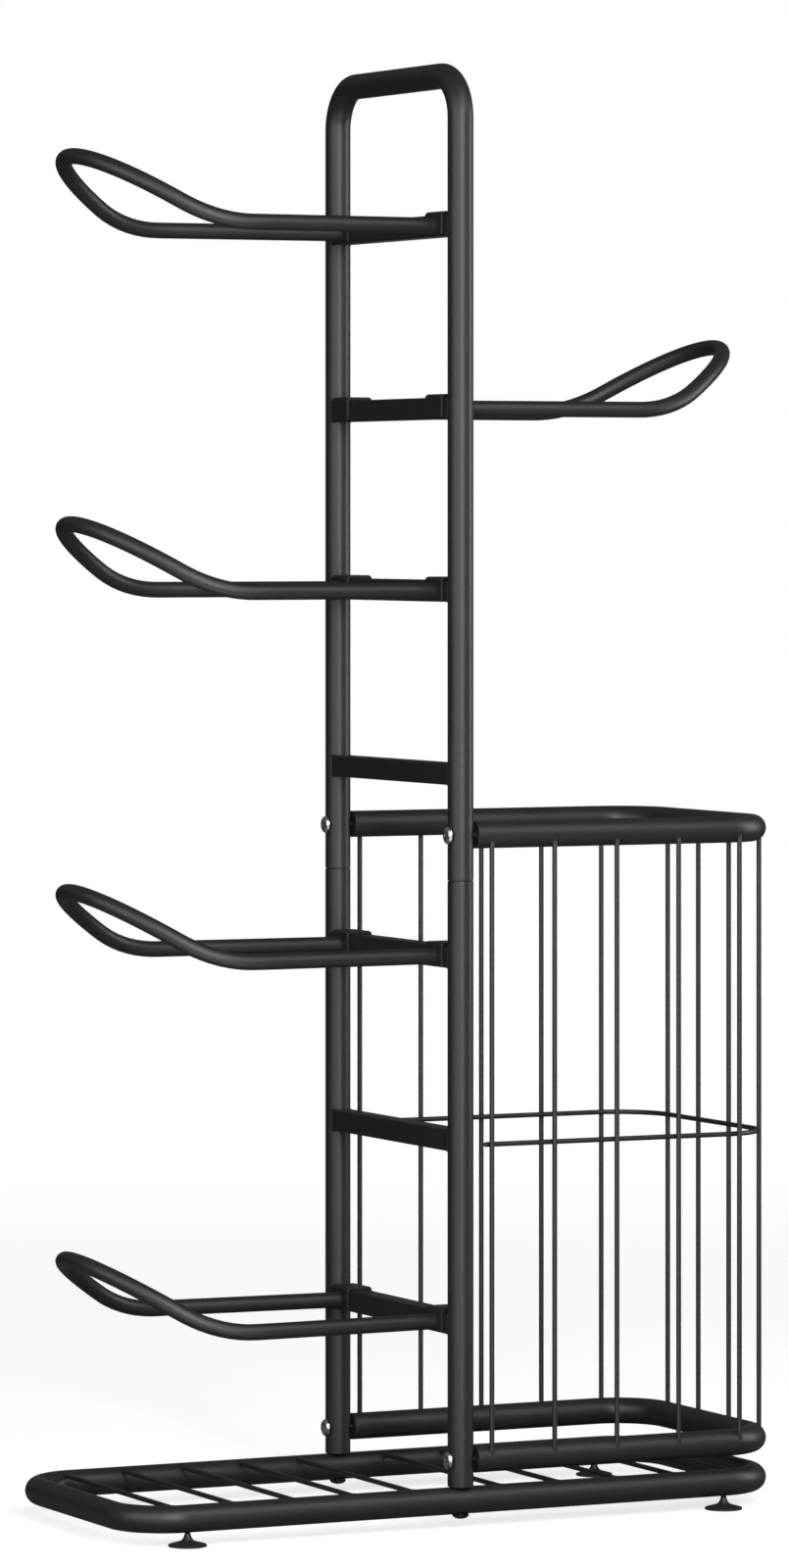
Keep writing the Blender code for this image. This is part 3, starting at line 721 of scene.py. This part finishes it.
# %% The tree of a weld bead
PUDDLE = 0.0013
PUDDLE_STEP = 0.2
BEAD_SIDES = 6
BEAD_LUMPS = 1 / 220
BAR_BEAD = 0.0011
LOOP_BEAD = 0.0008
WIRE_BEAD = 0.0007

weld_sizes = {"Bead": "Float", "Puddle": "Float", "Sides": "Int"}
WELD, graph, size = new_tree("weld_bead_along_path", weld_sizes)
line = graph.add("GeometryNodeMeshToCurve", {"Mesh": size["Geometry"]})
spacing = size["Puddle"] * PUDDLE_STEP
line = graph.add("GeometryNodeResampleCurve", {"Curve": line, "Length": spacing}, mode="LENGTH")
along = graph.add("GeometryNodeSplineParameter", output="Length")
phase = along * math.tau / size["Puddle"]
wave = phase.math("SINE", phase)
place = graph.add("GeometryNodeInputPosition")
swell = 0.75 + wave * 0.06 + noise(graph, place, BEAD_LUMPS) * 0.5
ring = ring_profile(graph, size["Sides"], size["Bead"])
end_tree(graph, swept(graph, line, ring, {"Scale": swell, "Fill Caps": True}), size["Finish"])


def welds(paths, bead):
    """Beads of weld along joints that run back to where they started."""
    sizes = {"Bead": bead, "Puddle": PUDDLE, "Sides": BEAD_SIDES, "Finish": POWDER["weld"]}
    return grown(WELD, chains_mesh(paths, closed=True), sizes)


# %% Beads round the ends of the crossbars
def bar_outline():
    """The crossbar's section, its corners rounded."""
    inner = BAR_HALF - BAR_CORNER
    points = []
    for x, z, first in ((inner, inner, 0), (-inner, inner, 90), (-inner, -inner, 180), (inner, -inner, 270)):
        points += arc((x, z), BAR_CORNER, first, first + 90, CORNER_POINTS)
    return points


def bar_joint(side, level_z):
    """Where a crossbar's skin meets the upright."""
    points = []
    for x, z in bar_outline():
        reach = RAIL_Y - math.sqrt(UPRIGHT_RADIUS**2 - x**2)
        points.append((x, side * reach, level_z + z))
    return points


joints = [bar_joint(side, z) for z in LEVELS.values() for side in (-1, 1)]
piece("crossbar_welds", welds(joints, BAR_BEAD), "frame", "powder_coat")

# %% [markdown]
# ## Shelf wires
#
# Ten straight wires lie across the base, let in a little below the top of the tube and welded at each end.
# They are the round bar tree again, on ten short lines, and each weld follows the curve where a wire goes
# into the tube.

# %% Wires across the base, and their welds
SHELF_FIRST = 0.0484
SHELF_LAST = 0.3064
SHELF_WIRES_A_SIDE = 5
SHELF_DROP = 0.001
SHELF_Z = BASE_Z + BASE_RADIUS - SHELF_DROP - WIRE_RADIUS
WIRE_END_LAP = 0.004
WIRE_SIDES = 20
JOINT_STEPS = 20
WIRE_RING = arc((0, 0), WIRE_RADIUS, 0, 360, JOINT_STEPS)[:-1]

pitch = (SHELF_LAST - SHELF_FIRST) / (SHELF_WIRES_A_SIDE - 1)
shelf_x = [side * (SHELF_FIRST + pitch * i) for side in (-1, 1) for i in range(SHELF_WIRES_A_SIDE)]
shelf_lines = []
for x in shelf_x:
    reach = side_at(x, 0) - WIRE_END_LAP
    shelf_lines.append([(x, -reach, SHELF_Z), (x, reach, SHELF_Z)])
shelf_mesh = round_bar(shelf_lines, WIRE_RADIUS, POWDER["wire"], sides=WIRE_SIDES)
piece("shelf_wires", shelf_mesh, "frame", "powder_coat_wire")


def shelf_joint(x, side):
    """Where a shelf wire's skin goes into the base tube."""
    points = []
    for across, up in WIRE_RING:
        point_x = x + across
        point_z = SHELF_Z + up
        inset = math.sqrt(BASE_RADIUS**2 - (point_z - BASE_Z) ** 2)
        points.append((point_x, side * side_at(point_x, -inset), point_z))
    return points


joints = [shelf_joint(x, side) for x in shelf_x for side in (-1, 1)]
piece("shelf_welds", welds(joints, WIRE_BEAD), "frame", "powder_coat_wire")

# %% [markdown]
# ## The basket
#
# Two rims of tube follow the base's outline, and are bolted to the uprights at their ends. Fourteen wires
# stand between them, butted into the rims' outer sides. A fifteenth is bent round inside them at half
# height and spot welded at each crossing.

# %% Rims
RIM_START = 0.0165
RIM_EDGE = 0.0004
RIM_LEVELS = {"top": middle("basket_top_rim").z, "bottom": middle("basket_bottom_rim").z}

for name, z in RIM_LEVELS.items():
    plan = [(RIM_START, -RAIL_Y), *rounded_end(), (RIM_START, RAIL_Y)]
    line = [(x, y, z) for x, y in plan]
    rim = round_bar([line], RIM_RADIUS, POWDER["tube"], sides=40, wall=TUBE_WALL, edge=RIM_EDGE)
    piece(f"{name}_rim", rim, "frame", "powder_coat", f"basket_{name}_rim")

# %% The tree of upright wires
stand_sizes = {"Low": "Float", "High": "Float", "Radius": "Float", "Sides": "Int"}
STANDING_WIRES, graph, size = new_tree("standing_wires", stand_sizes)
low = graph.add("ShaderNodeCombineXYZ", {"Z": size["Low"]})
high = graph.add("ShaderNodeCombineXYZ", {"Z": size["High"]})
line = graph.add("GeometryNodeCurvePrimitiveLine", {"Start": low, "End": high}, mode="POINTS")
ring = ring_profile(graph, size["Sides"], size["Radius"])
wire = swept(graph, line, ring, {"Fill Caps": True})
end_tree(graph, stood(graph, size["Geometry"], wire, {}), size["Finish"])

# %% Upright wires of the basket
WIRE_OUTSET = 0.010
SIDE_WIRES = 5
SIDE_WIRE_FIRST = 0.0295
SIDE_WIRE_PITCH = 0.0694
END_WIRES = 4
END_WIRE_PITCH = 0.065
WIRE_BURIED = 0.004

wire_plan = {}
for index in range(SIDE_WIRES):
    x = SIDE_WIRE_FIRST + SIDE_WIRE_PITCH * index
    y = side_at(x, WIRE_OUTSET)
    wire_plan[f"basket_wire_front_{index + 1}"] = (x, -y)
    wire_plan[f"basket_wire_rear_{index + 1}"] = (x, y)
for index in range(END_WIRES):
    y = END_WIRE_PITCH * (index - (END_WIRES - 1) / 2)
    wire_plan[f"basket_wire_end_{index + 1}"] = (end_at(y, WIRE_OUTSET), y)

seed = points_mesh([(x, y, 0) for x, y in wire_plan.values()])
sizes = {
    "Low": RIM_LEVELS["bottom"] + WIRE_BURIED,
    "High": RIM_LEVELS["top"] - WIRE_BURIED,
    "Radius": WIRE_RADIUS,
    "Sides": WIRE_SIDES,
    "Finish": POWDER["wire"],
}
piece("basket_wires", grown(STANDING_WIRES, seed, sizes), "frame", "powder_coat_wire", *wire_plan)


# %% Beads where the wires go into the rims
def outline_normal(x, y):
    """Which way is outwards from the outline at a place on it."""
    corner = Vector((END_X - CORNER_RADIUS, math.copysign(RAIL_Y - CORNER_RADIUS, y)))
    from_corner = Vector((x, y)) - corner
    if from_corner.x <= 0:
        return Vector((0, math.copysign(1, y)))
    if from_corner.y * corner.y <= 0:
        return Vector((1, 0))
    return from_corner.normalized()


def rim_joint(x, y, rim_z, up):
    """Where an upright wire's skin goes into a rim from above or below."""
    out = outline_normal(x, y)
    points = []
    for outwards, sideways in WIRE_RING:
        outset = WIRE_OUTSET + outwards
        plan = Vector((x, y)) + out * outwards + Vector((-out.y, out.x)) * sideways
        points.append((plan.x, plan.y, rim_z + up * math.sqrt(RIM_RADIUS**2 - outset**2)))
    return points


joints = [rim_joint(x, y, RIM_LEVELS["top"], -1) for x, y in wire_plan.values()]
joints += [rim_joint(x, y, RIM_LEVELS["bottom"], 1) for x, y in wire_plan.values()]
piece("basket_welds", welds(joints, WIRE_BEAD), "frame", "powder_coat_wire")

# %% Middle wire
MIDDLE_Z = 0.3755
MIDDLE_OUTSET = 0.0047
MIDDLE_START = 0.0235
DOME = [(0.0, 0.35), (0.0004, 0.72), (0.0011, 0.93), (0.002, 1.0)]

plan = [(MIDDLE_START + along, -side_at(0, MIDDLE_OUTSET)) for along, _ in DOME]
plan += rounded_end(MIDDLE_OUTSET)
plan += [(x, -y) for x, y in reversed(plan[: len(DOME)])]
ends = [thick for _, thick in DOME]
profile = ends + [1.0] * (len(plan) - 2 * len(ends)) + ends[::-1]
line = [(x, y, MIDDLE_Z) for x, y in plan]
middle_wire = round_bar([line], WIRE_RADIUS, POWDER["wire"], sides=WIRE_SIDES, thickness=profile)
piece("middle_wire", middle_wire, "frame", "powder_coat_wire", "basket_mid_wire")

# %% The tree of spot welds
SPOT_RADIUS = 0.0021
SPOT_SEED = 3
SPOT_LEAST = (0.85, 0.85, 0.85)
SPOT_MOST = (1.15, 1.15, 1.3)

SPOTS, graph, size = new_tree("spot_welds", {"Size": "Float", "Seed": "Int"})
blob = graph.add("GeometryNodeMeshIcoSphere", {"Radius": size["Size"], "Subdivisions": 3})
scale_range = {"Min": SPOT_LEAST, "Max": SPOT_MOST, "Seed": size["Seed"]}
uneven = graph.add("FunctionNodeRandomValue", scale_range, data_type="FLOAT_VECTOR")
end_tree(graph, stood(graph, size["Geometry"], blob, {"Scale": uneven}), size["Finish"])

# %% A spot weld at each crossing
places = []
for x, y in wire_plan.values():
    inwards = outline_normal(x, y) * (WIRE_OUTSET - MIDDLE_OUTSET) / 2
    places.append((x - inwards.x, y - inwards.y, MIDDLE_Z))
sizes = {"Size": SPOT_RADIUS, "Seed": SPOT_SEED, "Finish": POWDER["weld"]}
spots = grown(SPOTS, points_mesh(places), sizes)
piece("spot_welds", spots, "frame", "powder_coat_wire")

# %% [markdown]
# ## Plugs, spacers and bolts
#
# A threaded plug closes each end of a rim. Its flange is the black disc beside the upright, and a short
# blackened spacer, a grey dot in the photograph, keeps it off the tube. A domed bolt comes through the
# upright from the other side. All of these are turned, so a half profile is spun in mesh code.

# %% Turned shapes
SAME_POINT = 0.000001


def steady_mesh(shape, name):
    """A bmesh as a mesh, built from its sorted faces. Spin and extrude order them anew in each run."""
    shape.verts.index_update()
    faces = sorted([vert.index for vert in face.verts] for face in shape.faces)
    mesh = bpy.data.meshes.new(name)
    mesh.from_pydata([vert.co for vert in shape.verts], [], faces)
    shape.free()
    return mesh


def turned(profile, steps=48):
    """A solid of revolution about Z from (radius, height) points that run down its outer side."""
    shape = bmesh.new()
    verts = [shape.verts.new((radius, 0, height)) for radius, height in profile]
    edges = [shape.edges.new(pair) for pair in zip(verts, verts[1:])]
    spin = {"axis": (0, 0, 1), "cent": (0, 0, 0), "angle": math.tau, "steps": steps}
    bmesh.ops.spin(shape, geom=verts + edges, **spin)
    bmesh.ops.remove_doubles(shape, verts=shape.verts, dist=SAME_POINT)
    bmesh.ops.recalc_face_normals(shape, faces=shape.faces)
    return steady_mesh(shape, "turned")


def merged(placed, finish):
    """Several meshes, each with its place, as one mesh."""
    shape = bmesh.new()
    for mesh, place in placed:
        part = mesh.copy()
        part.transform(place)
        shape.from_mesh(part)
        bpy.data.meshes.remove(part)
    return mesh_of(shape, "merged", finish)


# %% Plug flanges and spacers
RIM_FACE = 0.0146
FLANGE = 0.0016
PLUG_BODY = 0.0113
PLUG_DEPTH = 0.020
FLANGE_EASE = 0.0005
SPACER_RADIUS = 0.0038
SPACER_CUTTER_HALF = 0.02
BOLT_RADIUS = 0.0029
ALONG_X = Matrix.Rotation(math.pi / 2, 4, "Y")

rim_ends = {}
for rim, z in RIM_LEVELS.items():
    rim_ends[f"{rim}_front"] = Vector((0, -RAIL_Y, z))
    rim_ends[f"{rim}_rear"] = Vector((0, RAIL_Y, z))

rim_back = RIM_FACE + FLANGE
flange = [
    (BOLT_RADIUS, rim_back + PLUG_DEPTH),
    (PLUG_BODY, rim_back + PLUG_DEPTH),
    (PLUG_BODY, rim_back),
    (RIM_RADIUS, rim_back),
    (RIM_RADIUS, RIM_FACE + FLANGE_EASE),
    (RIM_RADIUS - FLANGE_EASE, RIM_FACE),
    (BOLT_RADIUS, RIM_FACE),
    (BOLT_RADIUS, rim_back + PLUG_DEPTH),
]
plug = turned(flange)
plugs = merged([(plug, Matrix.Translation(place) @ ALONG_X) for place in rim_ends.values()], BLACK_PLASTIC)
piece("rim_plugs", plugs, "frame", "plastic", *[f"rim_plug_{end}" for end in rim_ends])

half_spacer = [(0, RIM_FACE), (SPACER_RADIUS, RIM_FACE), (SPACER_RADIUS, 0), (0, 0)]
spacer = turned(half_spacer, steps=32)
spacers = []
for place in rim_ends.values():
    half = Vector((0, 0, SPACER_CUTTER_HALF))
    tube = cylinder(UPRIGHT_RADIUS - FITTING_GAP, place - half, place + half)
    rod = merged([(spacer, Matrix.Translation(place) @ ALONG_X)], BLACK_STEEL)
    spacers.append((cut_mesh(rod, [tube]), Matrix.Identity(4)))
piece("rim_spacers", merged(spacers, BLACK_STEEL), "frame", "black_steel")

# %% Domed bolts
HEAD_HEIGHT = 0.0045
HEAD_LIP = 0.0006
HEAD_UNDERCUT = 0.0001
HEAD_EASE = 0.0003
DOME_STEPS = 8
SOCKET_RADIUS = 0.0023
SOCKET_DEPTH = 0.0024
ABOVE_HEAD = 0.01
RIM_BOLT_HEAD = 0.00875
RIM_BOLT_REACH = 0.016
BASE_BOLT_HEAD = 0.00825


def domed_bolt(head_radius, length):
    """A domed bolt along Z with a hexagon socket, its head's underside at the origin and its shank below."""
    profile = []
    for step in range(DOME_STEPS + 1):
        turn = math.pi / 2 * step / DOME_STEPS
        profile.append((head_radius * math.sin(turn), HEAD_LIP + (HEAD_HEIGHT - HEAD_LIP) * math.cos(turn)))
    profile += [(head_radius, HEAD_UNDERCUT), (head_radius - HEAD_EASE, 0), (BOLT_RADIUS, 0)]
    profile += [(BOLT_RADIUS, -length), (0, -length)]
    socket = cylinder(SOCKET_RADIUS, (0, 0, HEAD_HEIGHT - SOCKET_DEPTH), (0, 0, ABOVE_HEAD), sides=6)
    return cut_mesh(turned(profile), [socket])


HEAD_SEAT = UPRIGHT_RADIUS + SOLID_GAP
bolt = domed_bolt(RIM_BOLT_HEAD, HEAD_SEAT + RIM_FACE + RIM_BOLT_REACH)
bolts = []
for place in rim_ends.values():
    seat = Matrix.Translation(place - Vector((HEAD_SEAT, 0, 0)))
    bolts.append((bolt, seat @ Matrix.Rotation(-math.pi / 2, 4, "Y")))
piece("rim_bolts", merged(bolts, ZINC), "frame", "zinc", *[f"rim_bolt_{end}" for end in rim_ends])

base_seat = BASE_Z - BASE_RADIUS - SOLID_GAP
base_bolt = domed_bolt(BASE_BOLT_HEAD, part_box("base_bolt_front")[1].z - base_seat)
bolts = []
for y in (-RAIL_Y, RAIL_Y):
    bolts.append((base_bolt, Matrix.Translation((0, y, base_seat)) @ Matrix.Rotation(math.pi, 4, "X")))
piece("base_bolts", merged(bolts, BLACK_STEEL), "frame", "black_steel", "base_bolt_front", "base_bolt_rear")

# %% The inserts inside the uprights stay as the model has them
for end in ("front", "rear"):
    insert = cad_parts[f"upright_insert_{end}"]
    insert.material_slots[0].material = BLACK_STEEL
    print(f"{insert.name}: {insert.material_slots[0].material.name}")

# %% [markdown]
# ## Ball holders
#
# Each holder is a loop of tube. Its two arms run out level and splay a little, and its nose is elliptical in
# plan and climbs on a bend. The arms are welded to two saddles, which are short channels of bent plate that
# drop over the crossbar beside the uprights. A spline through a few points would do, but the same rule as in
# the model keeps the loop on the model's own line.

# %% The loop's path
NOSE_HALF = 0.1161
ARM_SPLAY = math.radians(2.7)
LOOP_STRAIGHT = 0.2014
NOSE_STEPS = 56
BEND_START = 0.2120
BEND_RADIUS = 0.1333
BEND_ANGLE = math.radians(31.8)
SADDLE_CLEARANCE = 0.0004
SADDLE_PLATE = 0.003
SADDLE_INNER = BAR_HALF + SADDLE_CLEARANCE
SADDLE_OUTER = SADDLE_INNER + SADDLE_PLATE
ARM_START = SADDLE_OUTER - 0.0008
ARM_SQUARE_END = SADDLE_OUTER + 0.0023
NOSE_LENGTH = -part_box("ball_holder_1")[0].x - HOLDER_RADIUS - LOOP_STRAIGHT


def loop_rise(x):
    """How far the loop's centre line has climbed at this distance from the crossbar."""
    arc_end = BEND_START + BEND_RADIUS * math.sin(BEND_ANGLE)
    in_arc = min(max(x - BEND_START, 0), arc_end - BEND_START)
    rise = BEND_RADIUS - math.sqrt(BEND_RADIUS**2 - in_arc**2)
    return rise + max(x - arc_end, 0) * math.tan(BEND_ANGLE)


slope = math.tan(ARM_SPLAY)
past = math.atan(slope * NOSE_LENGTH / NOSE_HALF)
nose = []
for step in range(NOSE_STEPS + 1):
    turn = (math.pi + 2 * past) * step / NOSE_STEPS - past
    nose.append((LOOP_STRAIGHT + NOSE_LENGTH * math.sin(turn), -NOSE_HALF * math.cos(turn)))
ARM_Y = -nose[0][1] - (nose[0][0] - ARM_SQUARE_END) * slope
front_arm = [(ARM_START, -ARM_Y), (ARM_SQUARE_END, -ARM_Y)]
plan = front_arm + nose + [(x, -y) for x, y in reversed(front_arm)]
LOOP_LINE = [(-x, y, loop_rise(x)) for x, y in plan]
reach = LOOP_STRAIGHT + NOSE_LENGTH + HOLDER_RADIUS
print(f"loop reaches {reach:.4f} m, its arms {2 * ARM_Y:.4f} m apart at the saddles")

# %% Saddles of bent plate
SADDLE_NEAR = 0.0147
SADDLE_FAR = 0.0508
SADDLE_BEND = 0.004
SADDLE_INNER_BEND = 0.0012
SADDLE_EDGE = 0.0005
SADDLE_DEPTH = 0.020
BEND_STEPS = 8
INNER_BEND_STEPS = 4
SADDLE_ROOF = BAR_HALF + SOLID_GAP
SADDLE_TOP = SADDLE_ROOF + SADDLE_PLATE
SADDLE_BOTTOM = SADDLE_ROOF - SADDLE_DEPTH


def saddle_section():
    """Section of the bent plate, an inverted U, both sides of its bends rounded."""
    outer_x = SADDLE_OUTER - SADDLE_BEND
    outer_z = SADDLE_TOP - SADDLE_BEND
    inner_x = SADDLE_INNER - SADDLE_INNER_BEND
    inner_z = SADDLE_ROOF - SADDLE_INNER_BEND
    points = [(SADDLE_OUTER, SADDLE_BOTTOM)]
    points += arc((outer_x, outer_z), SADDLE_BEND, 0, 90, BEND_STEPS)
    points += arc((-outer_x, outer_z), SADDLE_BEND, 90, 180, BEND_STEPS)
    points += [(-SADDLE_OUTER, SADDLE_BOTTOM), (-SADDLE_INNER, SADDLE_BOTTOM)]
    points += arc((-inner_x, inner_z), SADDLE_INNER_BEND, 180, 90, INNER_BEND_STEPS)
    points += arc((inner_x, inner_z), SADDLE_INNER_BEND, 90, 0, INNER_BEND_STEPS)
    points += [(SADDLE_INNER, SADDLE_BOTTOM)]
    return points


def rear_saddle():
    """The saddle beside the rear upright, a short channel whose cut edges are eased."""
    shape = bmesh.new()
    section = [shape.verts.new((x, RAIL_Y - SADDLE_FAR, z)) for x, z in saddle_section()]
    face = shape.faces.new(section)
    made = bmesh.ops.extrude_face_region(shape, geom=[face])
    moved = [item for item in made["geom"] if isinstance(item, bmesh.types.BMVert)]
    bmesh.ops.translate(shape, verts=moved, vec=(0, SADDLE_FAR - SADDLE_NEAR, 0))
    bmesh.ops.recalc_face_normals(shape, faces=shape.faces)
    obj = scene_object("saddle", steady_mesh(shape, "saddle"))
    ease(obj, SADDLE_EDGE)
    return own_mesh(obj)


SADDLE = rear_saddle()
HALF_TURN = Matrix.Rotation(math.pi, 4, "Z")
print("saddle:", len(SADDLE.polygons), "faces")

# %% Holders on their crossbars
HOLDER_WALL = 0.0012
ARM_JOINT_RADIUS = HOLDER_RADIUS + 0.0001
ARM_JOINT_X = -SADDLE_OUTER - 0.0003
ARM_JOINT_STEPS = 40
HOLDERS = {1: "left", 2: "right", 3: "left", 5: "left", 7: "left"}


def arm_joint(y):
    """Where an arm's end meets its saddle."""
    ring = arc((y, 0), ARM_JOINT_RADIUS, 0, 360, ARM_JOINT_STEPS)
    return [(ARM_JOINT_X, ring_y, ring_z) for ring_y, ring_z in ring[:-1]]


LOOP = round_bar([LOOP_LINE], HOLDER_RADIUS, POWDER["tube"], sides=32, wall=HOLDER_WALL)
LOOP_WELDS = welds([arm_joint(-ARM_Y), arm_joint(ARM_Y)], LOOP_BEAD)

for level, side in HOLDERS.items():
    seat = Matrix.Translation((0, 0, LEVELS[level]))
    if side == "right":
        seat = seat @ HALF_TURN
    body = f"holder_{level}"
    loop = merged([(LOOP, seat)], POWDER["tube"])
    piece(f"loop_{level}", loop, body, "powder_coat", f"ball_holder_{level}")
    saddles = merged([(SADDLE, seat), (SADDLE, seat @ HALF_TURN)], POWDER["plate"])
    nodes = [f"holder_saddle_{level}_{end}" for end in ("front", "rear")]
    piece(f"saddles_{level}", saddles, body, "powder_coat", *nodes)
    piece(f"loop_welds_{level}", merged([(LOOP_WELDS, seat)], POWDER["weld"]), body, "powder_coat")

# %% [markdown]
# ## Levelling feet
#
# Each foot is a moulded pad, a hollow-sided cone on a thin rim, on a threaded stud that screws into the
# base. The stud hardly shows until the foot is wound out, and then its thread does, so the thread is a
# helix swept by a tree.

# %% The tree of a screw thread
RIDGE_SIDES = 4
RIDGE_SHARE = 0.42
STEPS_A_TURN = 20

thread_sizes = {"Radius": "Float", "Pitch": "Float", "Turns": "Float", "Low": "Float"}
THREAD, graph, size = new_tree("screw_thread", thread_sizes)
spiral_sizes = {
    "Resolution": STEPS_A_TURN,
    "Rotations": size["Turns"],
    "Start Radius": size["Radius"],
    "End Radius": size["Radius"],
    "Height": size["Pitch"] * size["Turns"],
}
helix = graph.add("GeometryNodeCurveSpiral", spiral_sizes)
ridge = ring_profile(graph, RIDGE_SIDES, size["Pitch"] * RIDGE_SHARE)
thread = swept(graph, helix, ridge, {"Fill Caps": True})
lift = graph.add("ShaderNodeCombineXYZ", {"Z": size["Low"]})
lifted = graph.add("GeometryNodeTransform", {"Geometry": thread, "Translation": lift})
end_tree(graph, stood(graph, size["Geometry"], lifted, {}), size["Finish"])

# %% Feet
STUD_RADIUS = 0.0029
THREAD_DEPTH = 0.0004
STUD_EASE = 0.0004
STUD_TIP = 0.0006
NECK_Z = BASE_Z - BASE_RADIUS - 0.0011
STUD_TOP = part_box("levelling_foot_front_left")[1].z
THREAD_PITCH = 0.001
THREAD_SMOOTH_DEGREES = 20
PAD_EDGE = 0.0020
PAD_EASE = 0.0003
PAD_HOLLOW = 0.0006
PAD_HOLLOW_START = 0.003
PAD_HOLLOW_END = 0.0045
CONE_STEPS = 15


def cone_height(part):
    """How high the pad stands at this share of its spread: a steep neck on a shallow cone."""
    return 0.4 * (1 - part) ** 0.9 + 0.6 * (1 - part) ** 10


def pad_profile(pad_radius):
    """Stud, hollow cone and rounded rim of a foot, from the top down its outer side."""
    core = STUD_RADIUS - THREAD_DEPTH
    rise = NECK_Z - PAD_EDGE
    spread = pad_radius - PAD_EASE - STUD_RADIUS
    points = [(0, STUD_TOP), (STUD_RADIUS - STUD_TIP, STUD_TOP), (core, STUD_TOP - STUD_EASE)]
    points += [(core, NECK_Z)]
    for step in range(CONE_STEPS + 1):
        part = (step / CONE_STEPS) ** 2
        points.append((STUD_RADIUS + spread * part, PAD_EDGE + rise * cone_height(part)))
    points += [(pad_radius, PAD_EDGE - PAD_EASE), (pad_radius, PAD_EASE), (pad_radius - PAD_EASE, 0)]
    points += [(pad_radius - PAD_HOLLOW_START, 0), (pad_radius - PAD_HOLLOW_END, PAD_HOLLOW)]
    points += [(0, PAD_HOLLOW)]
    return points


turns = (STUD_TOP - NECK_Z) / THREAD_PITCH - 1
for corner in ("front_left", "front_right", "rear_left", "rear_right"):
    node = f"levelling_foot_{corner}"
    low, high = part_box(node)
    place = (low + high) / 2
    pad_radius = min(high.x - low.x, high.y - low.y) / 2
    foot = turned(pad_profile(pad_radius))
    foot = merged([(foot, Matrix.Translation((place.x, place.y, 0)))], BLACK_PLASTIC)
    piece(f"foot_{corner}", foot, f"foot_{corner}", "plastic", node)
    sizes = {
        "Radius": STUD_RADIUS - THREAD_DEPTH,
        "Pitch": THREAD_PITCH,
        "Turns": turns,
        "Low": NECK_Z + THREAD_PITCH / 2,
        "Finish": BLACK_STEEL,
    }
    thread = grown(THREAD, points_mesh([(place.x, place.y, 0)]), sizes)
    name = f"foot_thread_{corner}"
    piece(name, thread, f"foot_{corner}", "black_steel", smooth=THREAD_SMOOTH_DEGREES)
